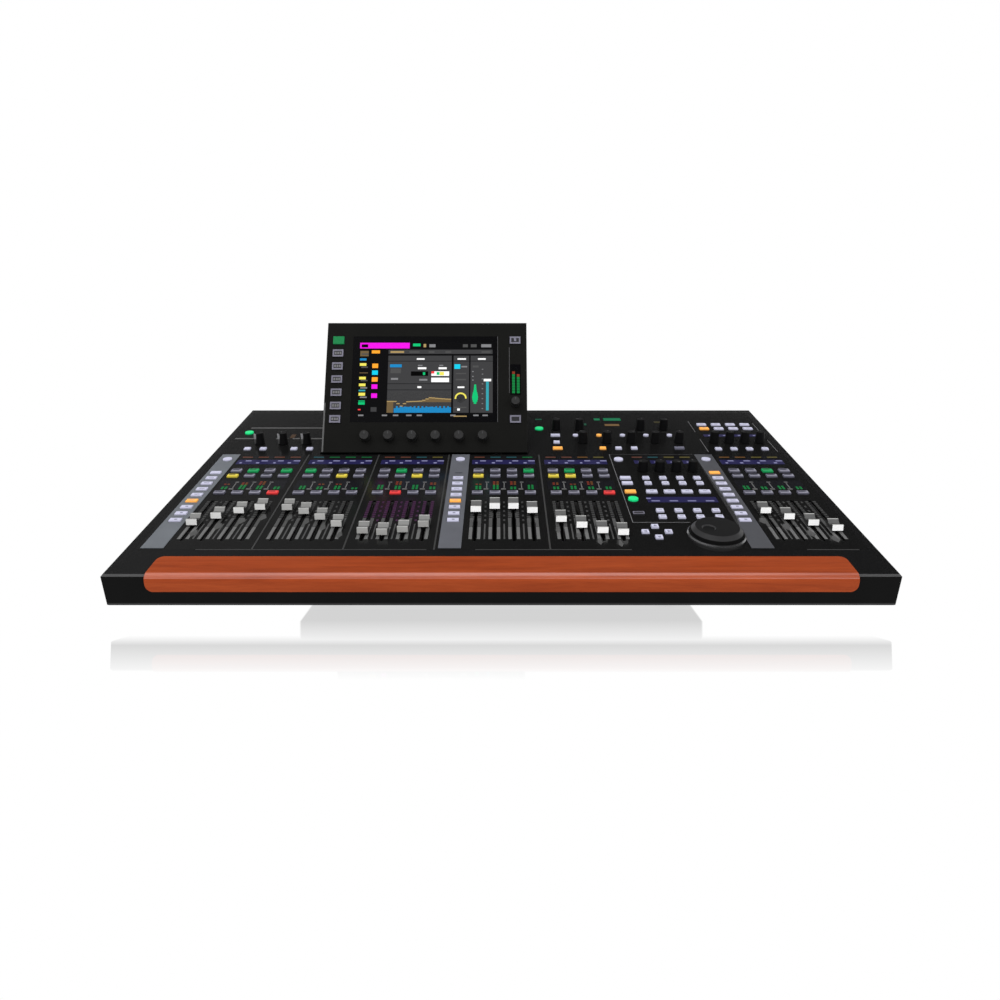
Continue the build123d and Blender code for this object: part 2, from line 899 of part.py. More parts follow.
def base_form(inset, rear_inset, top_h):
    """Base under the slab: long side profile crossed with the chamfered front profile."""
    top_front = side_point(base_setback + inset, top_h)
    top_rear = side_point(panel_length - rear_inset, top_h)
    rear_y = base_rear_y - rear_inset
    low_z = foot_height + inset
    half_top = base_width / 2 - inset
    half_foot = base_foot_width / 2 - inset
    with BuildPart() as form:
        with BuildSketch(Plane.YZ):
            with BuildLine():
                Polyline(
                    top_front,
                    (top_front[0] + base_front_slant, low_z),
                    (rear_y - base_rear_step, low_z),
                    (rear_y, low_z + base_rear_step),
                    (rear_y, bay_high_z + base_rear_step - inset),
                    top_rear,
                    close=True,
                )
            make_face()
        extrude(amount=width, both=True)
        with BuildSketch(Plane.XZ):
            with BuildLine():
                Polyline(
                    (-half_foot, low_z),
                    (-half_top, low_z + base_corner_height),
                    (-half_top, width),
                    (half_top, width),
                    (half_top, low_z + base_corner_height),
                    (half_foot, low_z),
                    close=True,
                )
            make_face()
        extrude(amount=width, both=True, mode=Mode.INTERSECT)
    return form.part


with BuildPart() as pan:
    add(slab(cheek_depth, slab_depth))
    low_rim = pan.faces().sort_by(Axis((0, 0, 0), PANEL.z_dir))[0].edges()
    chamfer(low_rim, edge_break)

base_block = base_form(0.0, 0.0, -cheek_depth - pan_thickness / 2)
base_hollow = base_form(base_wall, bay_depth + 2 * base_wall, -cheek_depth)
bay_height = bay_high_z - bay_low_z
bay_middle_z = (bay_high_z + bay_low_z) / 2

with BuildPart() as lower_chassis:
    add(pan.part)
    add(base_block)
    add(base_hollow, mode=Mode.SUBTRACT)
    with BuildSketch(REAR):
        with Locations((0, bay_middle_z)):
            Rectangle(bay_width, bay_height)
    extrude(amount=bay_depth, mode=Mode.SUBTRACT)
    with BuildSketch(REAR):
        with Locations((0, bay_middle_z)):
            Rectangle(bay_width - 2 * ledge, bay_height - 2 * ledge)
    extrude(amount=-3 * base_wall, mode=Mode.SUBTRACT)
save(lower_chassis, "lower_chassis")

with BuildPart() as rubber_feet:
    with BuildSketch(Plane.XY):
        with Locations(
            (-foot_x, foot_front_y),
            (foot_x, foot_front_y),
            (-foot_x, foot_rear_y),
            (foot_x, foot_rear_y),
        ):
            RegularPolygon(foot_diameter / 2, knob_sides)
    extrude(amount=foot_height)
save(rubber_feet, "rubber_feet")

# ---------------------------------------------------------------- rear panel and sockets
socket_xs = [socket_first_x + index * socket_pitch for index in range(socket_count)]
input_places = rows(socket_xs, [input_z])
output_places = rows(socket_xs, [output_z])
jack_places = rows(socket_xs, [jack_z])
data_xs = [data_first_x + index * data_pitch for index in range(3)]
data_places = rows(data_xs, [input_z, output_z])
inlet_place = (inlet_x, inlet_z)

with BuildPart() as rear_panel:
    with BuildSketch(REAR):
        with Locations((0, bay_middle_z)):
            Rectangle(bay_width - 2 * fit_gap, bay_height - 2 * fit_gap)
        with Locations(*input_places, *output_places, *data_places):
            Rectangle(
                socket_body[0] + 2 * fit_gap,
                socket_body[1] + 2 * fit_gap,
                mode=Mode.SUBTRACT,
            )
        with Locations(*jack_places):
            Rectangle(
                jack_body + 2 * fit_gap,
                jack_body + 2 * fit_gap,
                mode=Mode.SUBTRACT,
            )
        with Locations(inlet_place):
            Rectangle(
                inlet_body[0] + 2 * fit_gap,
                inlet_body[1] + 2 * fit_gap,
                mode=Mode.SUBTRACT,
            )
    extrude(amount=rear_panel_thickness)
save(rear_panel, "rear_panel")

FACE = REAR.offset(rear_panel_thickness)


def socket_bodies(places):
    """Flanged sockets: face plate on the panel and a block body through it."""
    with BuildPart() as bodies:
        with BuildSketch(FACE):
            with Locations(*places):
                Rectangle(*flange_size)
        extrude(amount=flange_thickness)
        with BuildSketch(FACE):
            with Locations(*places):
                Rectangle(*socket_body)
        extrude(amount=-socket_depth)
    return bodies.part


audio_bodies = socket_bodies(input_places + output_places)
data_bodies = socket_bodies(data_places)
mouth_plane = FACE.offset(flange_thickness)

with BuildPart() as audio_sockets:
    add(audio_bodies)
    with BuildSketch(mouth_plane):
        with Locations(*input_places):
            RegularPolygon(cup_diameter / 2, cup_sides)
            RegularPolygon(cup_diameter / 2 - insert_groove, cup_sides, mode=Mode.SUBTRACT)
    extrude(amount=-cup_depth, mode=Mode.SUBTRACT)
    with BuildSketch(mouth_plane):
        with Locations(*output_places):
            RegularPolygon(cup_diameter / 2, cup_sides)
    extrude(amount=-cup_depth, mode=Mode.SUBTRACT)
    with BuildSketch(mouth_plane.offset(-cup_depth)):
        with Locations(*output_places):
            with PolarLocations(contact_circle, 3, start_angle=90):
                Rectangle(contact_size, contact_size)
    extrude(amount=contact_length)
    with BuildSketch(FACE):
        with Locations(*jack_places):
            RegularPolygon(jack_nut / 2, nut_sides)
    extrude(amount=flange_thickness)
    with BuildSketch(FACE):
        with Locations(*jack_places):
            Rectangle(jack_body, jack_body)
    extrude(amount=-socket_depth)
    with BuildSketch(mouth_plane):
        with Locations(*jack_places):
            RegularPolygon(jack_bore / 2, shaft_sides)
    extrude(amount=-jack_depth, mode=Mode.SUBTRACT)
save(audio_sockets, "audio_sockets")

with BuildPart() as data_ports:
    add(data_bodies)
    with BuildSketch(mouth_plane):
        with Locations(*data_places):
            Rectangle(*data_mouth)
    extrude(amount=-data_depth, mode=Mode.SUBTRACT)
save(data_ports, "data_ports")

# ---------------------------------------------------------------- power inlet and switch
inlet_w, inlet_h = inlet_body
mouth_place = (inlet_x, inlet_z - inlet_drop)
switch_place = (inlet_x, inlet_z + switch_rise)

with BuildPart() as power_inlet:
    with BuildSketch(FACE):
        with Locations(inlet_place):
            Rectangle(inlet_w + 2 * ledge, inlet_h)
    extrude(amount=flange_thickness)
    with BuildSketch(FACE):
        with Locations(inlet_place):
            Rectangle(inlet_w, inlet_h)
    extrude(amount=-socket_depth)
    with BuildSketch(mouth_plane):
        with Locations(mouth_place):
            RectangleRounded(*inlet_mouth, edge_break)
    extrude(amount=-cup_depth, mode=Mode.SUBTRACT)
    with BuildSketch(mouth_plane):
        with Locations(switch_place):
            Rectangle(*switch_mouth)
    extrude(amount=-cup_depth, mode=Mode.SUBTRACT)
    with BuildSketch(mouth_plane.offset(-cup_depth)):
        with Locations(mouth_place):
            with Locations((-contact_length, 0), (0, contact_size), (contact_length, 0)):
                Rectangle(contact_size, 2 * contact_size)
    extrude(amount=contact_length)
save(power_inlet, "power_inlet")

rocker_w, rocker_h = rocker_size
rocker_lean = radians(rocker_tilt)
rocker_pivot = mouth_plane.from_local_coords(Vector(*switch_place, -rocker_edge))
ROCKER = Plane(
    origin=rocker_pivot + Vector(rocker_w / 2, 0, 0),
    x_dir=(0, sin(rocker_lean), cos(rocker_lean)),
    z_dir=(-1, 0, 0),
)

with BuildPart() as power_switch:
    with BuildSketch(ROCKER):
        with BuildLine():
            Polyline(
                (-rocker_h / 2 + edge_break, -rocker_edge),
                (-rocker_h / 2, rocker_edge),
                (0, rocker_edge - rocker_h / 2 * tan(rocker_lean)),
                (rocker_h / 2, rocker_edge),
                (rocker_h / 2 - edge_break, -rocker_edge),
                close=True,
            )
        make_face()
    extrude(amount=rocker_w)
save(power_switch, "power_switch")

# ---------------------------------------------------------------- inside the console
module_rear_v = fader_centre_v + module_length / 2
board_width = cavity_width - 4 * wall
board_front_v = module_rear_v + wall
deck_board_width = board_width / 2 - (screen_x + pocket_width / 2 + pocket_floor + wall)
deck_board_length = panel_length - rear_rail - pocket_front_v - wall

with BuildPart() as circuit_boards:
    with BuildSketch(PANEL.offset(board_h)):
        with Locations((0, board_front_v)):
            Rectangle(
                board_width,
                pocket_front_v - 2 * wall - board_front_v,
                align=(Align.CENTER, Align.MIN),
            )
        with Locations((board_width / 2, pocket_front_v)):
            Rectangle(deck_board_width, deck_board_length, align=(Align.MAX, Align.MIN))
    extrude(amount=-board)
save(circuit_boards, "circuit_boards")

with BuildPart() as power_supply:
    with BuildSketch(Plane.XY.offset(foot_height + base_wall)):
        with Locations((supply_x, supply_y)):
            Rectangle(supply_size[0], supply_size[1])
    extrude(amount=supply_size[2])
    chamfer(power_supply.edges().filter_by(Axis.Z), edge_break)
save(power_supply, "power_supply")
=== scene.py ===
"""Looks of the mixing console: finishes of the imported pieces, printed marks, lit keys,
meters, the picture on the screen, the floor, the lights and the camera."""
import json
import math

import bpy
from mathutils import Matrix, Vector


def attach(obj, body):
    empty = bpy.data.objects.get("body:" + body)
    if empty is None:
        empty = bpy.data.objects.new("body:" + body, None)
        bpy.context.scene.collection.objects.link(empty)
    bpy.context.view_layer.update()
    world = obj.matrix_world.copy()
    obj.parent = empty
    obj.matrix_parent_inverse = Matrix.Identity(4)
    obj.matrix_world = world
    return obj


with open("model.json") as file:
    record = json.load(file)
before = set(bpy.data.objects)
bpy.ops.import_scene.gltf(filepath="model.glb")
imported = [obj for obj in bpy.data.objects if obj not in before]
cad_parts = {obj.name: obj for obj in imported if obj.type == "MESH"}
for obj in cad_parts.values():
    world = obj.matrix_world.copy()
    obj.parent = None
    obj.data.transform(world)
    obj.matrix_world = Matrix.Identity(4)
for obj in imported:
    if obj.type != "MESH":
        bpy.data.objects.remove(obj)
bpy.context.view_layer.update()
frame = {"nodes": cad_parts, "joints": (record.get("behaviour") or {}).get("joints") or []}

# -------------------- frame of the panel and screen
MM = 0.001
JOINTS = {joint["name"]: joint for joint in frame["joints"]}


def joint_place(name):
    return Vector(JOINTS[name]["pos_m"])


def joint_axis(name):
    return Vector(JOINTS[name]["axis"])


UP_SLOPE = joint_axis("fader_01_slide")
PANEL_NORMAL = joint_axis("jog_wheel_spin")
SCREEN_NORMAL = joint_axis("screen_encoder_1_turn")
SCREEN_UP = SCREEN_NORMAL.cross(Vector((1, 0, 0)))

WHEEL_X, WHEEL_V = 256.5, 92.2
ENCODER_FIRST_X, ENCODER_PITCH, ENCODER_UP = -89.7, 35.4, 24.2
ENCODER_XS = [ENCODER_FIRST_X + ENCODER_PITCH * index for index in range(6)]
ENCODER_MIDDLE = (joint_place("screen_encoder_1_turn") + joint_place("screen_encoder_6_turn")) / 2
ENCODER_MIDDLE_X = (ENCODER_XS[0] + ENCODER_XS[-1]) / 2

PANEL_ORIGIN = joint_place("jog_wheel_spin") - Vector((WHEEL_X * MM, 0, 0)) - UP_SLOPE * WHEEL_V * MM
SCREEN_ORIGIN = ENCODER_MIDDLE - Vector((ENCODER_MIDDLE_X * MM, 0, 0)) - SCREEN_UP * ENCODER_UP * MM


def on_panel(x, v, h=0.0):
    """World point of a place on the panel: across, up the slope and above the surface, in mm."""
    return PANEL_ORIGIN + Vector((x * MM, 0, 0)) + UP_SLOPE * v * MM + PANEL_NORMAL * h * MM


def on_screen(x, up, out=0.0):
    """World point of a place on the screen: across, up the screen and out of it, in mm."""
    return SCREEN_ORIGIN + Vector((x * MM, 0, 0)) + SCREEN_UP * up * MM + SCREEN_NORMAL * out * MM


def panel_place(point):
    """(x, v, h) in mm of a world point."""
    rel = (point - PANEL_ORIGIN) / MM
    return rel.x, rel.dot(UP_SLOPE), rel.dot(PANEL_NORMAL)


def screen_place(point):
    """(x, up, out) in mm of a world point."""
    rel = (point - SCREEN_ORIGIN) / MM
    return rel.x, rel.dot(SCREEN_UP), rel.dot(SCREEN_NORMAL)


def world_place(point):
    return point.x / MM, point.y / MM, point.z / MM


# -------------------- layout shared with the model, in mm
CHANNEL_PITCH = 23.7
BANK_FIRSTS = (-376.4, -270.8, -165.2, -31.8, 73.8, 332.0)
CUSTOM_FIRST = 202.0
FADER_MIDDLE_V = 134.5


def bank_columns(first):
    return [first + index * CHANNEL_PITCH for index in range(4)]


def fader_rest(number):
    """Place up the slope of a fader cap at rest, from the two ends of its travel."""
    return FADER_MIDDLE_V - sum(JOINTS[f"fader_{number:02d}_slide"]["range_m"]) / 2 / MM


COLUMNS = [bank_columns(first) for first in BANK_FIRSTS]
ALL_COLUMNS = [x for bank in COLUMNS for x in bank]
CUSTOM_XS = bank_columns(CUSTOM_FIRST)
USER_XS = COLUMNS[-1]
STRIP_XS = (-403.4, -59.8, 302.3)
SELECT_V, SOLO_V, MUTE_V = 290.0, 271.5, 215.0
NAME_V, COLOUR_V = 324.0, 343.0
LAYER_FIRST_V, LAYER_PITCH = 282.0, 18.75
LAYER_VS = [LAYER_FIRST_V - index * LAYER_PITCH for index in range(9)]
CUSTOM_KEY_VS = (264.0, 246.0, 159.5, 141.5, 218.0)
CUSTOM_NAME_V, CUSTOM_KNOB_V = 193.5, 292.0
USER_KEY_VS = (486.5, 467.0, 376.0)
USER_NAME_V = 436.0
CURSOR_X, CURSOR_V, CURSOR_STEP = 187.5, 100.2, 14.0
KEY_TOP = 1.8

SECTION_KNOBS = [(127.5 + 37.5 * index, 405.0) for index in range(5)]
UPPER_KNOBS = [(x, 465.0) for x in (90.0, 127.5, 227.0, 264.5)]
USER_KNOBS = [(x, 405.0) for x in USER_XS]
MONITOR_KNOBS = [(x, 400.0) for x in (-374.0, -337.8, -301.6)]
CUSTOM_KNOBS = [(x, CUSTOM_KNOB_V) for x in CUSTOM_XS]
KNOB_TOP, CUSTOM_KNOB_TOP = 18.0, 15.0

SCREEN_KEY_X, SCREEN_KEY_FIRST_UP, SCREEN_KEY_PITCH = 137.0, 181.4, 21.45
SCREEN_KEY_UPS = [SCREEN_KEY_FIRST_UP - index * SCREEN_KEY_PITCH for index in range(7)]
SCREEN_KEY_TOP, SCREEN_KNOB_TOP = 1.4, 13.0
LEVEL_KNOB_UP = 78.3


# -------------------- materials
class Shader:
    """Node tree of a material or of the world."""

    def __init__(self, tree):
        self.nodes, self.links = tree.nodes, tree.links

    def feed(self, node, inputs):
        """Give inputs plain values, or link them to the outputs of other nodes."""
        for name, value in inputs.items():
            if isinstance(value, bpy.types.NodeSocket):
                self.links.new(value, node.inputs[name])
            else:
                node.inputs[name].default_value = value

    def add(self, kind, output, inputs, **settings):
        """New node with its settings and inputs, of which one output is given back."""
        node = self.nodes.new(f"ShaderNode{kind}")
        for name, value in settings.items():
            setattr(node, name, value)
        self.feed(node, inputs)
        return node.outputs[output]

    def join(self, operation, first, second):
        return self.add("Math", "Value", {0: first, 1: second}, operation=operation)

    def spread(self, value, start, end, low=0.0, high=1.0, **settings):
        """Value that goes from low to high while another goes from start to end."""
        inputs = {"Value": value, "From Min": start, "From Max": end, "To Min": low, "To Max": high}
        return self.add("MapRange", "Result", inputs, **settings)

    def noise(self, place, scale, detail, output="Fac", **more):
        return self.add("TexNoise", output, {"Vector": place, "Scale": scale, "Detail": detail, **more})

    def ramp(self, value, first, last, *between):
        """Colours at (position, colour) stops along a value."""
        node = self.nodes.new("ShaderNodeValToRGB")
        elements = node.color_ramp.elements
        for stop, (position, colour) in zip(elements, (first, last)):
            stop.position, stop.color = position, (*colour, 1)
        for position, colour in between:
            elements.new(position).color = (*colour, 1)
        self.links.new(value, node.inputs["Fac"])
        return node.outputs["Color"]

    def bump(self, height, strength, distance):
        return self.add("Bump", "Normal", {"Height": height, "Strength": strength, "Distance": distance})

    def mix(self, share, without, with_it):
        return self.add("MixShader", "Shader", {"Fac": share, 1: without, 2: with_it})

    def axis(self, vector, name):
        return self.add("SeparateXYZ", name, {"Vector": vector})


def new_material(name):
    material = bpy.data.materials.new(name)
    material.use_nodes = True
    return material, Shader(material.node_tree), material.node_tree.nodes["Principled BSDF"]


def scaled(colour, factor):
    return [min(1, channel * factor) for channel in colour]


TONE_SCALE, TONE_VARIATION = 35.0, 0.06
GLOSS_VARIATION = 0.1
GRAIN_DEPTH = 0.0002


def surface(name, colour, roughness, specular, grain=0.0, grain_scale=900.0, metallic=0.0,
            glow=0.0, glow_colour=None):
    """Moulded or coated surface: slight tone variation, grain in gloss and bump, optional glow."""
    material, shader, bsdf = new_material(name)
    place = shader.add("TexCoord", "Object", {})
    tone = shader.noise(place, TONE_SCALE, 4.0)
    fine = shader.noise(place, grain_scale, 3.0)
    darker, lighter = scaled(colour, 1 - TONE_VARIATION), scaled(colour, 1 + TONE_VARIATION)
    shiniest, dullest = roughness * (1 - GLOSS_VARIATION), min(1.0, roughness * (1 + GLOSS_VARIATION))
    shader.feed(bsdf, {
        "Base Color": shader.ramp(tone, (0.3, darker), (0.7, lighter)),
        "Roughness": shader.spread(fine, 0.0, 1.0, shiniest, dullest),
        "Specular IOR Level": specular,
        "Metallic": metallic,
    })
    if grain:
        shader.feed(bsdf, {"Normal": shader.bump(fine, grain, GRAIN_DEPTH)})
    if glow:
        shader.feed(bsdf, {"Emission Color": (*(glow_colour or colour), 1), "Emission Strength": glow})
    return material


WOOD_DARK, WOOD_MIDDLE, WOOD_LIGHT = (0.225, 0.034, 0.0092), (0.325, 0.0535, 0.0132), (0.40, 0.073, 0.0185)
WOOD_STRETCH, WOOD_WARP = (1.6, 22.0, 22.0), (0.9, 0.9, 0.9)
WARP_SCALE, WOOD_GRAIN_SCALE, PORE_SCALE = 1.5, 3.2, 34.0
PORE_RANGE, PORE_DARKEST, PORE_SHARE = (0.35, 0.6), 0.55, 0.2
WOOD_BUMP, WOOD_GRAIN_DEPTH = 0.12, 0.0003
LACQUER_ROUGHNESS, LACQUER_IOR = 0.22, 2.2


def wood_material(name, specular, roughness, coat, brightness):
    """Stained, lacquered timber with its grain along X."""
    material, shader, bsdf = new_material(name)
    place = shader.add("TexCoord", "Object", {})
    stretched = shader.add("Mapping", "Vector", {"Vector": place, "Scale": WOOD_STRETCH})
    warp = shader.noise(stretched, WARP_SCALE, 2.0, "Color")
    warping = {0: warp, 1: WOOD_WARP, 2: stretched}
    warped = shader.add("VectorMath", "Vector", warping, operation="MULTIPLY_ADD")
    grain = shader.noise(warped, WOOD_GRAIN_SCALE, 8.0, Roughness=0.62)
    pores = shader.spread(shader.noise(stretched, PORE_SCALE, 3.0), *PORE_RANGE, PORE_DARKEST)
    dark, middle, light = [scaled(stain, brightness) for stain in (WOOD_DARK, WOOD_MIDDLE, WOOD_LIGHT)]
    stain = shader.ramp(grain, (0.25, dark), (0.76, light), (0.5, middle))
    darkened = {"Factor": PORE_SHARE, "A": stain, "B": pores}
    shader.feed(bsdf, {
        "Base Color": shader.add("Mix", "Result", darkened, data_type="RGBA", blend_type="MULTIPLY"),
        "Normal": shader.bump(grain, WOOD_BUMP, WOOD_GRAIN_DEPTH),
        "Roughness": roughness,
        "Specular IOR Level": specular,
        "Coat Weight": coat,
        "Coat Roughness": LACQUER_ROUGHNESS,
        "Coat IOR": LACQUER_IOR,
    })
    return material


def grey(value):
    return (value, value, value)


def cap_surface(name, colour, roughness=0.45, **glow):
    return surface(name, colour, roughness, 0.4, grain=0.05, **glow)


COAT = {"grain": 0.2, "grain_scale": 1400}
BEVEL = {"grain": 0.1, "grain_scale": 1400}
CAP_SHADED_GREY = (0.38, 0.38, 0.37)
MAT = {
    "body": surface("body_black", (0.006, 0.006, 0.0062), 0.19, 0.12, **COAT),
    # The front face is the body black painted a touch darker as painted shade, and the bevels are painted
    # lighter as painted highlights.
    "body_front": surface("body_black_front_painted_shade", grey(0.0046), 0.6, 0.05, **COAT),
    "body_bevel": surface("body_black_bevel_painted_highlight", (0.055, 0.055, 0.056), 0.4, 0.3, **BEVEL),
    "body_side_bevel": surface("body_black_side_bevel_painted_highlight", (0.03, 0.03, 0.031), 0.4, 0.3, **BEVEL),
    "panel": surface("panel_black", grey(0.0056), 0.17, 0.17, grain=0.03, grain_scale=1800),
    "chassis": surface("chassis_powder_coat", (0.014, 0.014, 0.015), 0.6, 0.3, grain=0.5, grain_scale=700),
    # The three grey strips are one grey, painted lighter on the left and darker on the right as painted
    # light and shade.
    "strip_left": surface("grey_strip_painted_light_left", (0.115, 0.1251, 0.1398), 0.5, 0.3, grain=0.1),
    "strip_middle": surface("grey_strip_painted_half_shade_middle", (0.09016, 0.09384, 0.1086), 0.5, 0.3, grain=0.1),
    "strip_right": surface("grey_strip_painted_shade_right", (0.05632, 0.05808, 0.066), 0.5, 0.3, grain=0.1),
    "lens": surface("smoked_lens", (0.006, 0.006, 0.008), 0.18, 0.3),
    # The palm rest is one stain in three copies: the top painted darker as painted shade, and the rounded
    # nose painted brighter as a painted highlight under its real lacquer.
    "wood": wood_material("stained_wood", 0.08, 0.45, 0.0, 0.98),
    "wood_top": wood_material("stained_wood_top_painted_shade", 0.04, 0.45, 0.0, 0.8),
    "wood_nose": wood_material("stained_wood_nose_painted_highlight", 0.5, 0.4, 1.0, 1.2),
    # Fader caps: one plastic in lit and shaded copies. Fronts are in painted light, with a painted glow on
    # banks 1 and 4 to 6. The ridge and slopes are grey, and the dish and sides are in painted shade.
    "cap_white": cap_surface("fader_cap_white", grey(0.86), 0.4, glow=0.22, glow_colour=grey(0.9)),
    "cap_light": cap_surface("fader_cap_front_painted_light", (0.66, 0.66, 0.65), 0.4, glow=0.1, glow_colour=grey(0.7)),
    "cap_mid": cap_surface("fader_cap_front_painted_half_light", (0.47, 0.47, 0.46), 0.4),
    "cap_dull": cap_surface("fader_cap_front_painted_shade", CAP_SHADED_GREY, 0.4),
    "cap_ridge": cap_surface("fader_cap_ridge", CAP_SHADED_GREY),
    "cap_slope": cap_surface("fader_cap_slope", grey(0.095)),
    "cap_slope_light": cap_surface("fader_cap_slope_light", (0.19, 0.19, 0.185)),
    "cap_dark": cap_surface("fader_cap_dish_painted_shade", grey(0.06)),
    "cap_side": cap_surface("fader_cap_side_painted_shade", grey(0.035)),
    "knob": surface("knob_rubber", (0.0042, 0.0042, 0.0045), 0.45, 0.07, grain=0.08),
    "screen_knob": surface("screen_knob_rubber", grey(0.0205), 0.45, 0.3, grain=0.15),
    "knob_glint": surface("knob_glint", (0.26, 0.26, 0.27), 0.35, 0.3),
    "wheel": surface("wheel_soft_coat", (0.0075, 0.0075, 0.0078), 0.4, 0.08, grain=0.12),
    # Wheel edge: the wheel's coat painted lighter as a painted highlight.
    "wheel_edge": surface("wheel_edge", (0.028, 0.028, 0.029), 0.35, 0.2, grain=0.1),
    "ring": surface("wheel_ring_metal", (0.22, 0.22, 0.225), 0.2, 0.5, metallic=0.9),
    "screen": surface("screen_shell", (0.0066, 0.0066, 0.006), 0.5, 0.06, grain=0.15, grain_scale=1600),
    "glass": surface("display_glass_black", (0.0025, 0.0025, 0.003), 0.07, 0.3),
    "steel": surface("blackened_steel", (0.05, 0.05, 0.052), 0.35, 0.5, metallic=1.0, grain=0.1),
    "contact": surface("contact_bright", (0.62, 0.5, 0.3), 0.3, 0.5, metallic=1.0),
    "nut_metal": surface("nut_metal", grey(0.5), 0.3, 0.5, metallic=1.0),
    "module": surface("module_metal", grey(0.5), 0.35, 0.5, metallic=0.9),
    "socket": surface("socket_black", (0.016, 0.016, 0.017), 0.4, 0.4, grain=0.1),
    "rubber": surface("foot_rubber", grey(0.02), 0.8, 0.2, grain=0.4),
    "board": surface("board_green", (0.02, 0.12, 0.05), 0.4, 0.4),
    # Slot walls, what lies under the slots and the module tops in them: near black, as painted shade.
    "slot": surface("slot_painted_shade", grey(0.0012), 0.8, 0.02),
    "key_grey": surface("key_grey", (0.13, 0.127, 0.172), 0.45, 0.3),
    # Painted highlight for the front and right edges of the unlit channel keys.
    "key_rim_highlight": surface("key_rim_highlight", (0.26, 0.26, 0.31), 0.45, 0.2),
    "key_dark": surface("key_dark", (0.02, 0.02, 0.023), 0.45, 0.3),
    "edge_highlight_grey": surface("edge_highlight_grey", grey(0.085), 0.4, 0.4),
}

# Lit keys: colour, roughness, specular, glow and its colour.
LIT_KEY_LOOKS = {
    "key_white": ((0.37, 0.37, 0.46), 0.45, 0.2, 0.22, (0.66, 0.66, 0.88)),
    "key_green_dim": ((0.004, 0.13, 0.035), 0.45, 0.2, 0.12, (0.0, 0.5, 0.16)),
    "key_green": ((0.01, 0.2, 0.06), 0.4, 0.3, 0.12, (0.0, 0.85, 0.25)),
    "key_lit_green": ((0.01, 0.4, 0.12), 0.4, 0.3, 0.4, (0.0, 0.9, 0.3)),
    "key_yellow": ((0.5, 0.4, 0.04), 0.4, 0.3, 0.18, (1.0, 0.8, 0.1)),
    "key_red": ((0.55, 0.035, 0.035), 0.4, 0.3, 0.2, (1.0, 0.06, 0.06)),
    "key_orange": ((0.7, 0.3, 0.05), 0.4, 0.3, 0.4, (0.9, 0.42, 0.1)),
}
for name, (*look, glow, glow_colour) in LIT_KEY_LOOKS.items():
    MAT[name] = surface(name, *look, glow=glow, glow_colour=glow_colour)

# Printed inks: colour and specular. The mid grey also colours the painted sheen below the caps and the feet
# of the painted glints on the monitor knobs.
INKS = {
    "print_grey": ((0.14, 0.14, 0.145), 0.3),
    "print_scale": (grey(0.115), 0.2),
    "print_rail": (grey(0.078), 0.2),
    "print_mid_and_painted_sheen": (grey(0.06), 0.2),
    "print_scale_high": (grey(0.034), 0.2),
    "print_violet": ((0.04, 0.011, 0.04), 0.2),
    "print_lavender": ((0.16, 0.155, 0.2), 0.2),
    "print_dim": ((0.055, 0.055, 0.058), 0.3),
    "legend_soft": ((0.2, 0.2, 0.27), 0.2),
    "legend_dark": ((0.02, 0.02, 0.03), 0.3),
}
INK_ROUGHNESS = 0.5
for name, (colour, specular) in INKS.items():
    MAT[name] = surface(name, colour, INK_ROUGHNESS, specular)

# Lit marks and the colours of the picture: colour and strength.
GLOWS = {
    "lcd_violet": ((0.016, 0.0145, 0.066), 0.85),
    "lcd_text": ((0.24, 0.24, 0.42), 0.8),
    "led_green": ((0.008, 0.26, 0.06), 0.6),
    "led_red": ((0.34, 0.05, 0.022), 0.5),
    "led_amber": ((0.26, 0.09, 0.02), 0.5),
    "bar_red": ((0.13, 0.045, 0.028), 0.8),
    "bar_teal": ((0.02, 0.085, 0.1), 0.8),
    "bar_green": ((0.008, 0.12, 0.035), 0.8),
    "bar_yellow": ((0.12, 0.1, 0.025), 0.8),
    "bar_amber": ((0.16, 0.075, 0.022), 0.8),
    "legend_green": ((0.0, 0.14, 0.055), 0.9),
    "legend_green_dim": ((0.0, 0.06, 0.03), 0.9),
    "legend_yellow_dim": ((0.035, 0.03, 0.008), 0.9),
    "legend_amber_dim": ((0.05, 0.026, 0.012), 0.9),
    "legend_amber": ((0.15, 0.085, 0.03), 0.9),
    "ui_dark": ((0.0035, 0.0035, 0.004), 1.0),
    "ui_mid": ((0.042, 0.042, 0.044), 1.0),
    "ui_black": (grey(0.0012), 1.0),
    "ui_soft": (grey(0.066), 1.0),
    "ui_tan": ((0.36, 0.25, 0.1), 1.0),
    "ui_light": ((0.19, 0.19, 0.2), 1.0),
    "ui_white": (grey(0.9), 0.95),
    "ui_magenta": ((0.8, 0.0, 0.72), 0.95),
    "ui_green": ((0.0, 0.5, 0.16), 0.95),
    "ui_cyan": ((0.0, 0.56, 0.76), 0.95),
    "ui_teal": ((0.03, 0.32, 0.38), 0.95),
    "ui_blue": ((0.006, 0.22, 0.5), 0.9),
    "ui_orange": ((0.95, 0.35, 0.02), 0.95),
    "ui_yellow": ((0.8, 0.72, 0.1), 0.95),
    "ui_red": ((0.9, 0.05, 0.05), 0.95),
    "ui_brown": ((0.15, 0.1, 0.045), 0.9),
}
UNLIT_SHARE, LIT_ROUGHNESS, LIT_SPECULAR = 0.2, 0.3, 0.1
for name, (colour, strength) in GLOWS.items():
    unlit = scaled(colour, UNLIT_SHARE)
    MAT[name] = surface(name, unlit, LIT_ROUGHNESS, LIT_SPECULAR, glow=strength, glow_colour=colour)


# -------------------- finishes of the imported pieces
def key_places(v, *keys):
    """Places of keys of one row, each named by its bank and its channel, counted from 1."""
    return [(COLUMNS[bank - 1][channel - 1], v) for bank, channel in keys]


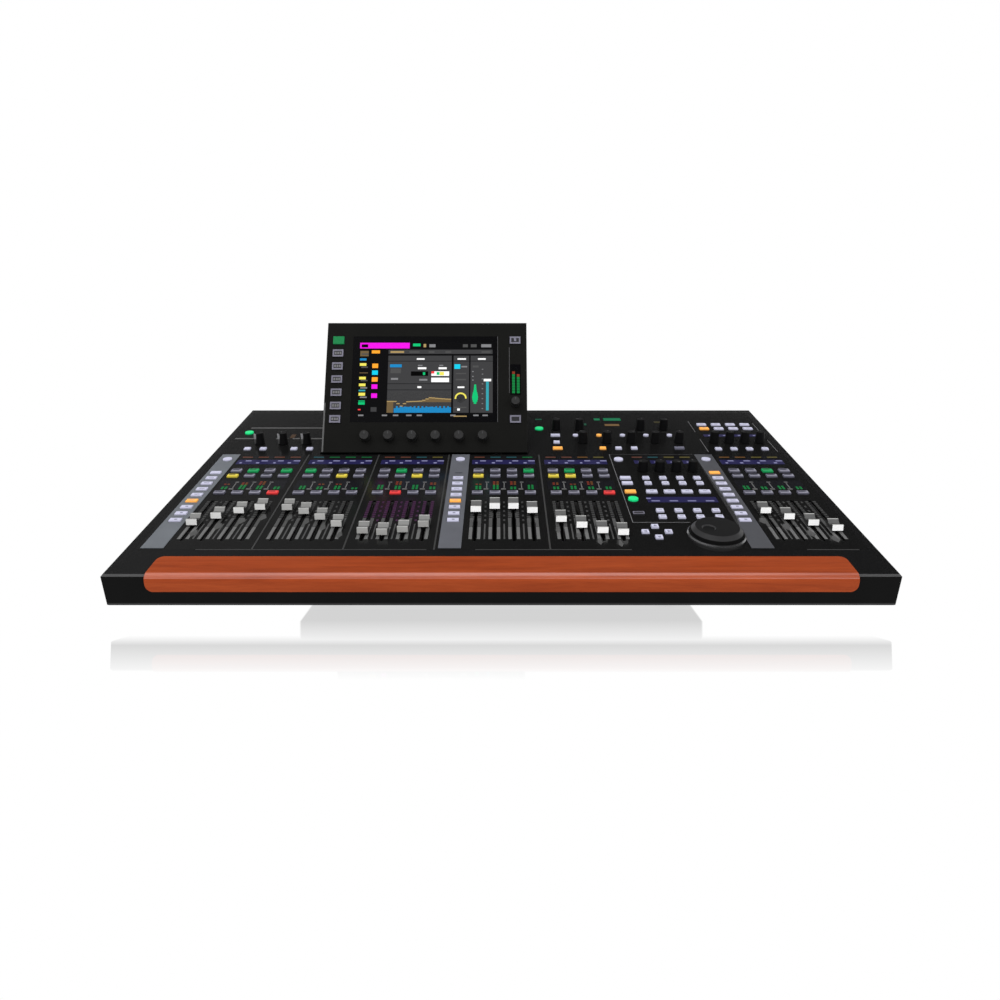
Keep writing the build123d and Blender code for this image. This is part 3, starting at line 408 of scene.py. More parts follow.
LIT_SELECT = key_places(SELECT_V, (1, 2), (1, 4), (2, 1), (3, 2), (4, 4), (5, 2), (6, 3))
LIT_SOLO = key_places(SOLO_V, (1, 1), (2, 3), (3, 3), (4, 1), (5, 1), (5, 2))
LIT_MUTE = key_places(MUTE_V, (1, 4), (3, 2), (5, 4))
LIT_LAYER = [(STRIP_XS[0], LAYER_VS[5]), (STRIP_XS[1], LAYER_VS[5]), (STRIP_XS[2], LAYER_VS[0])]
ORANGE_KEYS = [(173.5, 218.0), (87.0, 379.0), (156.5, 436.0), (156.0, 379.0), (332.0, 467.0)]
GREEN_KEYS = [(173.5, 194.5), (62.5, 468.0), (-405.0, 448.0)]
GREY_KEY = (273.0, 379.0)
DARK_KEY = (173.5, 151.0)
CHANNEL_KEY_LOOKS = ((LIT_SELECT, "key_green"), (LIT_SOLO, "key_yellow"), (LIT_MUTE, "key_red"))
SECTION_KEY_LOOKS = (
    (ORANGE_KEYS, "key_orange"), (GREEN_KEYS, "key_lit_green"),
    ([DARK_KEY], "key_dark"), ([GREY_KEY], "key_grey"),
)
KEY_REACH, SECTION_KEY_REACH = 9.0, 8.8

WHEEL_RING_REACH = 36.0
STRIP_DIVIDES = (-300.0, 100.0)
WHEEL_EDGE_LOW = 6.0
CAP_STEM_TOP, CAP_RIDGE_LOW = 2.9, 9.0

# Fronts and rear slopes of the fader caps, bank by bank, as painted light: the fronts of banks 1 to 3 grow
# lighter towards the left.
CAP_LOOKS = (
    ("cap_light", "cap_slope_light"), ("cap_mid", "cap_slope_light"), ("cap_dull", "cap_slope_light"),
    ("cap_white", "cap_slope"), ("cap_white", "cap_slope"), ("cap_white", "cap_slope"),
)
UNDER_SLOTS = -1.5

SOCKET_XS = [207.0 - 30.0 * index for index in range(8)]
SOCKET_MOUTH_Y = 282.6
OUTPUT_Z, PIN_CIRCLE, PIN_ANGLES, PIN_REACH = 66.0, 4.2, (90, 210, 330), 1.6
JACK_Z, NUT_RADIUS, NUT_DEPTH = 34.0, 7.2, 2.5
INLET_X, INLET_Z, INLET_HALF_WIDTH, INLET_HALF_HEIGHT = -201.0, 53.0, 9.0, 6.0
CONTACT_DEPTH, INLET_DEPTH = 6.0, 13.5


def finish_node(node, material):
    obj = frame["nodes"][node]
    obj.data.materials.clear()
    obj.data.materials.append(MAT[material])
    return obj


def finish_faces(node, base, choose, place=panel_place):
    """Base finish on a node, and choose(place of face, normal) may name another for a face."""
    obj = finish_node(node, base)
    names = [base]
    for face in obj.data.polygons:
        other = choose(place(face.center), face.normal)
        if other is None:
            continue
        if other not in names:
            names.append(other)
            obj.data.materials.append(MAT[other])
        face.material_index = names.index(other)


def near(places, x, v, reach):
    return any(abs(x - key_x) < reach and abs(v - key_v) < reach for key_x, key_v in places)


def key_chooser(looks, reach):
    """Finishes of the keys that lie near listed places."""
    def choose(place, normal):
        return next((name for places, name in looks if near(places, place[0], place[1], reach)), None)
    return choose


def trim_face(place, normal):
    """Ring round the wheel, and the three grey strips, painted lighter to the left and darker to the right
    as painted light and shade.
    """
    x = place[0]
    if abs(x - WHEEL_X) < WHEEL_RING_REACH:
        return "ring"
    if x < STRIP_DIVIDES[0]:
        return "strip_left"
    return "strip_middle" if x < STRIP_DIVIDES[1] else "strip_right"


def screen_key(place, normal):
    """Green key at the top left of the screen."""
    x, up, _ = place
    return "key_green_dim" if x < 0 and up > SCREEN_KEY_FIRST_UP - SCREEN_KEY_PITCH / 2 else None


def cap_faces(front, slope):
    """Painted light and shade on a fader cap, by how each face is turned: bright front, grey rear ridge and
    slope, dark dish and sides.
    """
    def choose(place, normal):
        along = normal.dot(UP_SLOPE)
        lift = normal.dot(PANEL_NORMAL)
        if place[2] < CAP_STEM_TOP:
            return "steel"
        if along < -0.9:
            return front
        if lift > 0.95:
            return "cap_ridge" if place[2] > CAP_RIDGE_LOW else "cap_dark"
        if lift > 0.4:
            return slope if along < 0 else "cap_dark"
        return None
    return choose


def slab_face(place, normal):
    """Front face in painted shade, and the bevels round the top of the slab in painted highlights."""
    if abs(normal.x) < 0.1 and normal.y < -0.9 and place[1] < 5:
        return "body_front"
    if 0.3 < normal.dot(PANEL_NORMAL) < 0.9:
        return "body_bevel" if normal.dot(UP_SLOPE) < -0.4 else "body_side_bevel"
    return None


def wood_face(place, normal):
    """Top of the palm rest in painted shade, and its rounded nose in a painted highlight."""
    if normal.z > 0.93:
        return "wood_top"
    return "wood_nose" if normal.z > 0.3 and normal.y < -0.1 else None


def wheel_face(place, normal):
    """Rounded upper edge of the wheel, as a painted highlight."""
    return "wheel_edge" if 0.3 < normal.dot(PANEL_NORMAL) < 0.97 and place[2] > WHEEL_EDGE_LOW else None


def slot_face(place, normal):
    """Walls of the slots and holes in the control panel, and what lies under the slots, in painted shade.
    """
    return "slot" if normal.dot(PANEL_NORMAL) < 0.5 or place[2] < UNDER_SLOTS else None


def module_face(place, normal):
    """Tops of the fader modules, which show through the slots, in painted shade."""
    return "slot" if normal.dot(PANEL_NORMAL) > 0.5 else None


def socket_face(place, normal):
    """Contacts and bright nuts of the rear sockets, by their place seen from the front."""
    x, y, z = place
    for socket_x in SOCKET_XS:
        if abs(z - JACK_Z) < NUT_RADIUS and math.hypot(x - socket_x, z - JACK_Z) < NUT_RADIUS:
            return "nut_metal" if y > SOCKET_MOUTH_Y - NUT_DEPTH else None
        for angle in PIN_ANGLES:
            pin_x = socket_x - PIN_CIRCLE * math.cos(math.radians(angle))
            pin_z = OUTPUT_Z + PIN_CIRCLE * math.sin(math.radians(angle))
            if max(abs(x - pin_x), abs(z - pin_z)) < PIN_REACH and y < SOCKET_MOUTH_Y - CONTACT_DEPTH:
                return "contact"
    return None


def inlet_face(place, normal):
    """Blades of the mains inlet."""
    x, y, z = place
    inside = abs(x - INLET_X) < INLET_HALF_WIDTH and abs(z - INLET_Z) < INLET_HALF_HEIGHT
    return "nut_metal" if inside and CONTACT_DEPTH < SOCKET_MOUTH_Y - y < INLET_DEPTH else None


NODE_LOOKS = {
    "chassis": ("lower_chassis", "rear_panel"),
    "lens": ("display_windows",),
    "socket": ("data_ports", "power_switch"),
    "rubber": ("rubber_feet",),
    "steel": ("hinge_brackets",),
    "board": ("circuit_boards",),
    "module": ("power_supply",),
    "screen": ("screen_housing", "screen_bezel"),
    "glass": ("display_glass",),
    "knob": ("section_knobs",),
    "screen_knob": ("screen_level_knob", *[f"screen_encoder_{number}" for number in range(1, 7)]),
    "key_white": [f"cursor_key_{direction}" for direction in ("up", "down", "left", "right")],
}
for material, nodes in NODE_LOOKS.items():
    for node in nodes:
        finish_node(node, material)
finish_faces("channel_buttons", "key_grey", key_chooser(CHANNEL_KEY_LOOKS, KEY_REACH))
finish_faces("layer_buttons", "key_white", key_chooser([(LIT_LAYER, "key_orange")], KEY_REACH))
finish_faces("section_buttons", "key_white", key_chooser(SECTION_KEY_LOOKS, SECTION_KEY_REACH))
finish_faces("screen_buttons", "key_dark", screen_key, screen_place)
finish_faces("panel_trim", "strip_left", trim_face)
finish_faces("top_surround", "body", slab_face)
finish_faces("palm_rest", "wood", wood_face)
finish_faces("jog_wheel", "wheel", wheel_face)
finish_faces("control_panel", "panel", slot_face)
finish_faces("fader_modules", "module", module_face)
finish_faces("audio_sockets", "socket", socket_face, world_place)
finish_faces("power_inlet", "socket", inlet_face, world_place)
for number in range(1, 25):
    finish_faces(f"fader_cap_{number:02d}", "cap_side", cap_faces(*CAP_LOOKS[(number - 1) // 4]))


# -------------------- thin marks and small solids
CONSOLE, SCREEN = "console", "screen"
MARK = 0.12
ON_MARKS = (MARK, 2 * MARK)
ON_KEYS = (KEY_TOP, KEY_TOP + MARK)
ON_SCREEN_KEYS = (SCREEN_KEY_TOP, SCREEN_KEY_TOP + MARK)
ON_SCREEN_KNOBS = (SCREEN_KNOB_TOP, SCREEN_KNOB_TOP + MARK)


class Marks:
    """Thin closed prisms of one finish on one body of the console or the screen, in one object."""
    made = []

    def __init__(self, name, material, body=CONSOLE):
        self.name, self.material, self.body = name, material, body
        self.place = on_screen if body.startswith(SCREEN) else on_panel
        self.points, self.faces = [], []
        self.made.append(self)

    def polygon(self, outline, low, high):
        """Prism over an outline of (x, v) points, from one height to another."""
        start, count = len(self.points), len(outline)
        self.points += [self.place(x, v, low) for x, v in outline]
        self.points += [self.place(x, v, high) for x, v in outline]
        self.faces.append([start + i for i in reversed(range(count))])
        self.faces.append([start + count + i for i in range(count)])
        for i in range(count):
            j = (i + 1) % count
            self.faces.append([start + i, start + j, start + count + j, start + count + i])

    def bar(self, x, v, width, length, low=0.0, high=MARK):
        left, right, front, rear = x - width / 2, x + width / 2, v - length / 2, v + length / 2
        self.polygon([(left, front), (right, front), (right, rear), (left, rear)], low, high)

    def disc(self, x, v, radius, low, high, sides, start=0.0):
        outline = []
        for i in range(sides):
            angle = start + 2 * math.pi * i / sides
            outline.append((x + radius * math.cos(angle), v + radius * math.sin(angle)))
        self.polygon(outline, low, high)

    def path(self, points, width, low=0.0, high=MARK):
        """Straight runs of one width from point to point."""
        for (x0, v0), (x1, v1) in zip(points, points[1:]):
            half = width / 2 / math.hypot(x1 - x0, v1 - v0)
            side_x, side_v = (v0 - v1) * half, (x1 - x0) * half
            self.polygon([(x0 + side_x, v0 + side_v), (x0 - side_x, v0 - side_v),
                          (x1 - side_x, v1 - side_v), (x1 + side_x, v1 + side_v)], low, high)

    def build(self):
        mesh = bpy.data.meshes.new(self.name)
        mesh.from_pydata(self.points, [], self.faces)
        mesh.update()
        mesh.materials.append(MAT[self.material])
        obj = bpy.data.objects.new(self.name, mesh)
        bpy.context.scene.collection.objects.link(obj)
        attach(obj, self.body)


# -------------------- printed lines and scales on the panel
# Frame line round the custom section, and lines at both sides of the user keys: x, low and high end.
FRAME_LEFT, FRAME_LOW, FRAME_TOP = 162.4, 127.0, 354.0
FRAME_LOW_RIGHT, FRAME_TOP_RIGHT = 233.0, 287.0
USER_LINES = ((314, 365, 420), (314, 452, 505), (419, 365, 415), (419, 460, 495))
FRAME_LINE, FAINT_LINE = 0.8, 0.6
lines = Marks("panel_lines", "print_grey")
lines.path([(FRAME_LEFT, FRAME_TOP), (FRAME_LEFT, FRAME_LOW), (FRAME_LOW_RIGHT, FRAME_LOW)], FRAME_LINE)
for x, start, end in USER_LINES:
    lines.path([(x, start), (x, end)], FRAME_LINE)
top_line = Marks("custom_section_top_line", "print_dim")
top_line.path([(FRAME_LEFT, FRAME_TOP), (FRAME_TOP_RIGHT, FRAME_TOP)], FAINT_LINE)

# Lines between the banks, and the seam along the front of the panel.
DIVIDER_XS, DIVIDER_TOP, DIVIDER_WIDTH = (-287.5, -182.5, -77.5, 56.6), 353.0, 2.0
SEAM_V, SEAM_SPANS, SEAM_WIDTH = 57.0, ((-352, -86), (-30, 150), (352, 412)), 1.6
dividers = Marks("bank_dividers", "print_scale_high")
for x in DIVIDER_XS:
    dividers.path([(x, SEAM_V), (x, DIVIDER_TOP)], DIVIDER_WIDTH)
seam = Marks("lower_seam_line", "print_scale_high")
for start, end in SEAM_SPANS:
    seam.path([(start, SEAM_V), (end, SEAM_V)], SEAM_WIDTH)

# Rails over the monitor knobs: v, left and right end.
RAILS = ((471.5, -409, -272), (422, -420, -383), (422, -355, -336.5), (422, -329, -318), (422, -303, -272))
RAIL_WIDTH = 5.0
rails = Marks("section_lines", "print_rail")
for v, start, end in RAILS:
    rails.path([(start, v), (end, v)], RAIL_WIDTH)

# Scales on both sides of every fader, and figures between the faders of a bank.
SCALE_SIDE, SCALE_WIDTH = 5.0, 4.0
SCALE_LOW_V, SCALE_LOW_LENGTH = 99.0, 32.0
SCALE_MID_V, SCALE_MID_LENGTH = 127.5, 23.0
SCALE_TICK_V, SCALE_TICK_STEP, SCALE_TICK_LENGTH = 143.0, 6.2, 4.4
FIGURE_LOW_V, FIGURE_LOW_WIDTH, FIGURE_LOW_LENGTH = 103.0, 1.8, 40.0
FIGURE_V, FIGURE_STEP, FIGURE_WIDTH, FIGURE_LENGTH = 133.0, 13.0, 2.6, 5.0
scale_low = Marks("fader_scales_low", "print_scale")
scale_mid = Marks("fader_scales_mid", "print_mid_and_painted_sheen")
scale_high = Marks("fader_scales_high", "print_scale_high")
scale_violet = Marks("fader_scales_violet", "print_violet")
for bank in COLUMNS:
    upper = scale_violet if bank is COLUMNS[2] else scale_high
    for x in bank:
        for side_x in (x - SCALE_SIDE, x + SCALE_SIDE):
            scale_low.bar(side_x, SCALE_LOW_V, SCALE_WIDTH, SCALE_LOW_LENGTH)
            scale_mid.bar(side_x, SCALE_MID_V, SCALE_WIDTH, SCALE_MID_LENGTH)
            for step in range(8):
                upper.bar(side_x, SCALE_TICK_V + step * SCALE_TICK_STEP, SCALE_WIDTH, SCALE_TICK_LENGTH)
    for x in bank[:-1]:
        middle = x + CHANNEL_PITCH / 2
        scale_mid.bar(middle, FIGURE_LOW_V, FIGURE_LOW_WIDTH, FIGURE_LOW_LENGTH)
        for step in range(5):
            upper.bar(middle, FIGURE_V + step * FIGURE_STEP, FIGURE_WIDTH, FIGURE_LENGTH)

# Soft sheen on the panel below the caps of the outer banks, a painted reflection of the caps, which goes
# with the caps.
SHEEN_SHIFTS = (8.0, 6.5, 0.0, 0.0, -5.0, -8.0)
SHEEN_BELOW_CAP, SHEEN_SPREAD = 26.0, 0.58
SHEEN_LOW, SHEEN_HIGH = 1.5 * MARK, 2.5 * MARK
for index, x in enumerate(ALL_COLUMNS):
    shift = SHEEN_SHIFTS[index // 4]
    if not shift:
        continue
    cap = f"fader_cap_{index + 1:02d}"
    v = fader_rest(index + 1) - SHEEN_BELOW_CAP
    wide = SHEEN_SPREAD * abs(shift)
    outline = [(x + shift - wide, v - 3), (x + shift, v - 9), (x + shift + wide, v - 2),
               (x + shift + 0.3 * wide, v + 8), (x + shift - 0.5 * wide, v + 7)]
    Marks(f"{cap}_sheen", "print_mid_and_painted_sheen", cap).polygon(outline, SHEEN_LOW, SHEEN_HIGH)

# Rows of words beside the keys: columns, rows, width and length.
LABEL_ROWS = (
    (ALL_COLUMNS, (301.5,), 9.0, 1.4),
    (CUSTOM_XS, (273.0, 255.0, 168.0, 150.0, 227.0), 8.0, 1.2),
    ([x for x, _ in UPPER_KNOBS], (452.0,), 11.0, 1.4),
)
labels = Marks("key_labels", "print_scale_high")
for xs, vs, width, length in LABEL_ROWS:
    for x in xs:
        for v in vs:
            labels.bar(x, v, width, length)


# -------------------- name strips, colour bars and level meters
STRIP_SIZE, CUSTOM_STRIP_SIZE = (4 * CHANNEL_PITCH - 3.0, 16.5), (91.6, 16.6)
CUSTOM_CELL_SIZE, USER_CELL_SIZE = (13.6, 12.6), (16.6, 9.6)
strips = Marks("name_screens", "lcd_violet")
strip_text = Marks("name_text", "lcd_text")
for bank in COLUMNS:
    strips.bar((bank[0] + bank[-1]) / 2, NAME_V, *STRIP_SIZE)
for index, x in enumerate(ALL_COLUMNS):
    strip_text.bar(x + 5.5, NAME_V + 4.2, 8.5 + index % 2, 3.4, *ON_MARKS)
    strip_text.bar(x - 4.0 + (index % 3), NAME_V - 3.4, 3.4 + 1.2 * (index % 2), 4.2, *ON_MARKS)
for x in CUSTOM_XS:
    strips.bar(x, NAME_V, *CUSTOM_CELL_SIZE)
    strip_text.bar(x + 1.0, NAME_V - 0.5, 4.0, 3.0, *ON_MARKS)
for x in USER_XS:
    strips.bar(x, USER_NAME_V, *USER_CELL_SIZE)
    strip_text.bar(x + 1.0, USER_NAME_V, 3.6, 3.0, *ON_MARKS)
strips.bar((CUSTOM_XS[0] + CUSTOM_XS[-1]) / 2, CUSTOM_NAME_V, *CUSTOM_STRIP_SIZE)
for x in CUSTOM_XS:
    strip_text.bar(x, CUSTOM_NAME_V - 4.0, 11.0, 2.6, *ON_MARKS)
strip_text.bar(CUSTOM_XS[0] - 8.0, CUSTOM_NAME_V + 3.5, 6.0, 3.0, *ON_MARKS)

# Colours of the channels, bank by bank, and of the custom section.
COLOUR_ROWS = (
    ("red", "red", "red", "red"),
    ("teal", "green", "green", "green"),
    ("red", "red", "teal", "yellow"),
    ("red", "teal", "teal", "green"),
    ("red", "red", "amber", "yellow"),
    ("amber", "amber", "yellow", "yellow"),
    ("red", "teal", "yellow", "yellow"),
)
COLOUR_BAR_SIZE = (15.0, 3.0)
colour_bars = {name: Marks(f"colour_bars_bar_{name}", f"bar_{name}")
               for name in ("red", "teal", "green", "yellow", "amber")}
for bank, names in zip([*COLUMNS, CUSTOM_XS], COLOUR_ROWS):
    for x, name in zip(bank, names):
        colour_bars[name].bar(x, COLOUR_V, *COLOUR_BAR_SIZE)

# Lit steps of the two meter columns of each channel: green from below, and peaks above.
LEVELS = (3, 5, 4, 3, 4, 3, 4, 2, 5, 4, 5, 3, 4, 5, 3, 5, 3, 4, 3, 3, 4, 3, 4, 3)
PEAKS = (1, 2, 3, 0, 0, 1, 1, 0, 0, 3, 0, 2, 1, 3, 3, 0, 2, 1, 3, 0, 0, 0, 0, 0)
METER_LEFT, METER_RIGHT = -1.4, 3.4
LEVEL_V, LEVEL_STEP, LEVEL_SIZE = 228.0, 3.0, (3.0, 2.0)
PEAK_V, PEAK_STEP, PEAK_SIZE = 243.5, 4.0, (3.2, 2.2)
leds = {name: Marks(f"colour_bars_{name}", name) for name in ("led_green", "led_amber", "led_red")}
for x, level, peak in zip(ALL_COLUMNS, LEVELS, PEAKS):
    for side, peak_led in ((METER_LEFT, "led_red"), (METER_RIGHT, "led_amber")):
        for step in range(level):
            leds["led_green"].bar(x + side, LEVEL_V + step * LEVEL_STEP, *LEVEL_SIZE)
        for step in range(peak):
            leds[peak_led].bar(x + side, PEAK_V + step * PEAK_STEP, *PEAK_SIZE)

# Parts of the scale between two meters: across, v, width and length.
LADDER = ((-0.5, 227.5, 6.5, 3.2), (0.5, 239.0, 1.4, 16.0), (1.0, 250.5, 5.0, 2.6))
ladder = Marks("meter_scale", "print_scale")
for bank in COLUMNS:
    for x in bank[:-1]:
        for across, v, width, length in LADDER:
            ladder.bar(x + CHANNEL_PITCH / 2 + across, v, width, length)


# -------------------- legends on keys and pointers on knobs
WINDOW_TOP, WINDOW_LEGEND_SIZE = 0.6, (10.0, 2.2)
CHANNEL_LEGEND_SIZE, LAYER_FIGURE_SIZE = (8.5, 1.8), (3.4, 2.8)
LAYER_LEGEND_SIZE, KEY_LEGEND_SIZE = (7.0, 1.4), (5.0, 1.4)
dark_legends = Marks("key_legends", "legend_dark")
for x in ALL_COLUMNS:
    for v in (SELECT_V, SOLO_V, MUTE_V):
        dark_legends.bar(x - 1.0, v + 1.4, *CHANNEL_LEGEND_SIZE, *ON_KEYS)
dark_legends.bar(STRIP_XS[1], LAYER_FIRST_V, *WINDOW_LEGEND_SIZE, WINDOW_TOP, WINDOW_TOP + MARK)

soft_legends = Marks("key_legends_soft", "legend_soft")
for x in STRIP_XS:
    for v in LAYER_VS[6:]:
        soft_legends.bar(x + 0.5, v, *LAYER_FIGURE_SIZE, *ON_KEYS)
    for v in LAYER_VS[1:6]:
        soft_legends.bar(x, v, *LAYER_LEGEND_SIZE, *ON_KEYS)
for xs, vs in ((CUSTOM_XS, CUSTOM_KEY_VS), (USER_XS, USER_KEY_VS)):
    for x in xs:
        for v in vs:
            soft_legends.bar(x, v, *KEY_LEGEND_SIZE, *ON_KEYS)

DARK_EDGE_X, DARK_EDGE_V, DARK_EDGE_WIDTH = 6.6, 3.2, 1.2
left, right = DARK_KEY[0] - DARK_EDGE_X, DARK_KEY[0] + DARK_EDGE_X
front, rear = DARK_KEY[1] - DARK_EDGE_V, DARK_KEY[1] + DARK_EDGE_V
dark_key_edge = Marks("dark_key_edge", "print_lavender")
dark_key_edge.path([(left, front), (right, front), (right, rear), (left, rear), (left, front)],
                   DARK_EDGE_WIDTH, *ON_KEYS)

ARROW_RADIUS = 3.2
for turn, direction in enumerate(("right", "up", "left", "down")):
    angle = math.pi / 2 * turn
    arrow = Marks(f"cursor_arrow_{direction}", "legend_soft", f"cursor_key_{direction}")
    arrow.disc(CURSOR_X + CURSOR_STEP * math.cos(angle), CURSOR_V + CURSOR_STEP * math.sin(angle),
               ARROW_RADIUS, *ON_KEYS, sides=3, start=angle)

# Painted highlights on the front and right edges of the unlit channel keys, from half the length of each
# kind of key.
key_rims = Marks("key_painted_edge_highlights", "key_rim_highlight")
LIT_KEYS = LIT_SELECT + LIT_SOLO + LIT_MUTE
for x in ALL_COLUMNS:
    for v, half in ((SELECT_V, 4.2), (SOLO_V, 3.6), (MUTE_V, 3.6)):
        if (x, v) not in LIT_KEYS:
            key_rims.bar(x - 0.4, v - half + 0.9, 13.2, 1.8, *ON_KEYS)
            key_rims.bar(x + 6.2, v + 0.6, 1.6, 2 * half - 1.4, *ON_KEYS)

# Painted highlight down the left flank of each monitor knob: bright above, dull at its foot.
FLANK_FOOT, FLANK_SPLIT, FLANK_TOP = 2.0, 9.5, 17.6
flanks = Marks("monitor_knob_painted_glints", "knob_glint")
flanks_low = Marks("monitor_knob_painted_glint_feet", "print_mid_and_painted_sheen")
for x, v in MONITOR_KNOBS:
    flanks.bar(x - 4.9, v - 4.6, 3.4, 2.0, FLANK_SPLIT, FLANK_TOP)
    flanks_low.bar(x - 5.1, v - 4.8, 3.4, 2.0, FLANK_FOOT, FLANK_SPLIT)

# Turns of the knobs in degrees, clockwise from straight ahead.
POINTER_TURNS = (-40, 20, 65, -120, 5, 90, -75, 30, 130, -15, 50, -60, 10, 100, -35, 75)
CUSTOM_TURNS = (-100, 25, 140, -5)
POINTER_START, POINTER_END, POINTER_WIDTH = 1.5, 6.0, 1.1
pointers = Marks("knob_pointers", "print_mid_and_painted_sheen")
tall_knobs = SECTION_KNOBS + UPPER_KNOBS + USER_KNOBS + MONITOR_KNOBS
knob_sets = ((tall_knobs, POINTER_TURNS, KNOB_TOP), (CUSTOM_KNOBS, CUSTOM_TURNS, CUSTOM_KNOB_TOP))
for knobs, turns, top in knob_sets:
    for (x, v), turn in zip(knobs, turns):
        across, ahead = math.sin(math.radians(turn)), math.cos(math.radians(turn))
        ends = [(x + reach * across, v + reach * ahead) for reach in (POINTER_START, POINTER_END)]
        pointers.path(ends, POINTER_WIDTH, top, top + MARK)

# Lit words among the keys behind the faders: x, v, width, length and finish.
LIT_WORDS = (
    (187.5, 514.8, 29, 13, "legend_green"), (162, 514.8, 10, 10, "legend_green"),
    (140, 489.5, 4, 9, "legend_green_dim"), (63.5, 514.8, 11, 6, "legend_green_dim"),
    (184, 486.5, 24, 9, "legend_amber"), (262, 500.5, 12, 7, "legend_yellow_dim"),
    (-331, 433, 7, 16, "legend_amber_dim"),
)
words = {name: Marks(f"lit_{name}", name) for name in GLOWS if name.startswith("legend_")}
for *box, name in LIT_WORDS:
    words[name].bar(*box)


# -------------------- picture on the screen, generic
PICTURE_X, PICTURE_UP = -103.0, 59.0
PICTURE_WIDTH, PICTURE_HEIGHT = 206.0, 119.0
LAYER = 0.05
UI = {name.removeprefix("ui_"): Marks(f"screen_{name}", name, SCREEN)
      for name in GLOWS if name.startswith("ui_")}


def block(name, left, low, width, height, layer):
    """Rectangle of the picture: left and low edge in mm from the picture's lower left corner."""
    x, up = PICTURE_X + left + width / 2, PICTURE_UP + low + height / 2
    UI[name].bar(x, up, width, height, LAYER * (layer - 1), LAYER * layer)


block("dark", 0, 0, PICTURE_WIDTH, PICTURE_HEIGHT, 1)

# Two bars along the top, and a button left of the lower one: left, low, width, height, colour, layer.
TOP_BARS = (
    (-0.5, 109, 77, 9.5, "magenta", 2), (2, 110.8, 10, 5, "black", 3), (81.6, 112.6, 11.6, 4.6, "green", 2),
    (98, 111, 4, 5.5, "tan", 2), (107, 111, 9.5, 5, "light", 2), (159, 111, 7.7, 5, "soft", 2),
    (171.3, 111, 9, 5, "soft", 2), (187.5, 111, 15.5, 5, "light", 2),
    (44, 100, 161, 7, "mid", 2), (47, 101.6, 21, 3, "tan", 3), (76, 101.6, 16, 3, "soft", 3),
    (106, 101.6, 9, 3, "soft", 3), (132, 101.6, 9, 3, "soft", 3), (188, 101.6, 14, 3, "soft", 3),
    (18, 100.8, 12.6, 5, "orange", 2),
)

# Columns at the left: coloured cells with words among them, and buttons.
CELL_LEFT, WORD_LEFT, WORD_SIZE = 0.3, 2.5, (10.5, 2.2)
CELLS = (
    (96, 9, "brown"), (89, 3.6, "blue"), (80.2, 4.4, "yellow"), (68, 1.2, "brown"), (57.8, 4.4, "yellow"),
    (46.8, 4.4, "yellow"), (38.6, 2.4, "teal"), (31.4, 4.8, "yellow"), (22, 1.6, "green"), (17, 4, "green"),
    (8, 2, "red"),
)
CELL_WIDTHS = {"brown": 13, "red": 4}
OTHER_CELL_WIDTH = 10
WORDS = ((98.5, "soft"), (76.8, "soft"), (55, "soft"), (43, "light"), (27.8, "light"))
BUTTON_LEFT, BUTTON_WIDTH, BUTTON_HEIGHT = 19.6, 9.0, 7.2
BUTTONS = (
    (80.2, "orange"), (69, "cyan"), (57.9, "orange"), (46.2, "magenta"), (31.5, "magenta"), (9.3, "mid"),
)

# Left and width of three panes, and what stands in and below them, as in the bars.
PANES = ((44, 98), (145, 24), (171.2, 34.2))
PANE_LOW, PANE_HEIGHT, PANE_RULE_LOW, PANE_RULE_HEIGHT = 4.0, 93.0, 87.5, 0.8
PANE_PARTS = (
    (88, 90.2, 12, 2.6, "white", 3), (151, 90.2, 13, 2.6, "white", 3), (182.5, 90.2, 12, 2.6, "white", 3),
    (47, 77.7, 18, 5, "blue", 3), (48, 68, 16, 8, "soft", 3), (49, 57.2, 11, 3.2, "light", 3),
    (90, 74.6, 13, 3.2, "white", 3), (90, 80, 7, 1.8, "light", 3), (122, 74.6, 12.5, 3.2, "white", 3),
    (123, 80, 6, 1.8, "light", 3), (79.5, 63.7, 26.5, 7.4, "black", 3), (111, 63.7, 27.3, 7.4, "white", 3),
    (111, 53.5, 27.3, 7.2, "white", 3), (92.5, 55.8, 12.5, 3, "light", 3), (90, 43.8, 6, 3, "white", 3),
    (44, 50.4, 98, 0.8, "dark", 3), (44, 40.4, 98, 0.8, "dark", 3),
    (146.3, 75.2, 9, 7.6, "cyan", 3), (157, 77.6, 9, 2.4, "light", 3), (148.5, 66.6, 16, 1.8, "soft", 3),
    (148.5, 56.4, 16, 2.4, "soft", 3), (151.5, 43.8, 10.5, 2.6, "white", 3),
    (146.5, 11.6, 19, 1.8, "soft", 3), (151.5, 7.4, 4, 3.4, "white", 3),
    (146, -2.4, 20, 1.6, "tan", 3), (174.5, 77.5, 9, 3.2, "soft", 3),
    (98, 65.2, 3.4, 4.4, "green", 4), (111, 67.4, 4.6, 3.7, "red", 4),
    (119, 65.2, 4.6, 4.8, "green", 4), (124, 64.6, 6.4, 5.6, "yellow", 4),
)
for *box, name, layer in TOP_BARS + PANE_PARTS:
    block(name, *box, layer)
for low, height, name in CELLS:
    block(name, CELL_LEFT, low, CELL_WIDTHS.get(name, OTHER_CELL_WIDTH), height, 2)
for low, name in WORDS:
    block(name, WORD_LEFT, low, *WORD_SIZE, 3)
for middle, name in BUTTONS:
    block(name, BUTTON_LEFT, middle - BUTTON_HEIGHT / 2, BUTTON_WIDTH, BUTTON_HEIGHT, 2)
for left, width in PANES:
    block("mid", left, PANE_LOW, width, PANE_HEIGHT, 2)
    block("dark", left, PANE_RULE_LOW, width, PANE_RULE_HEIGHT, 3)

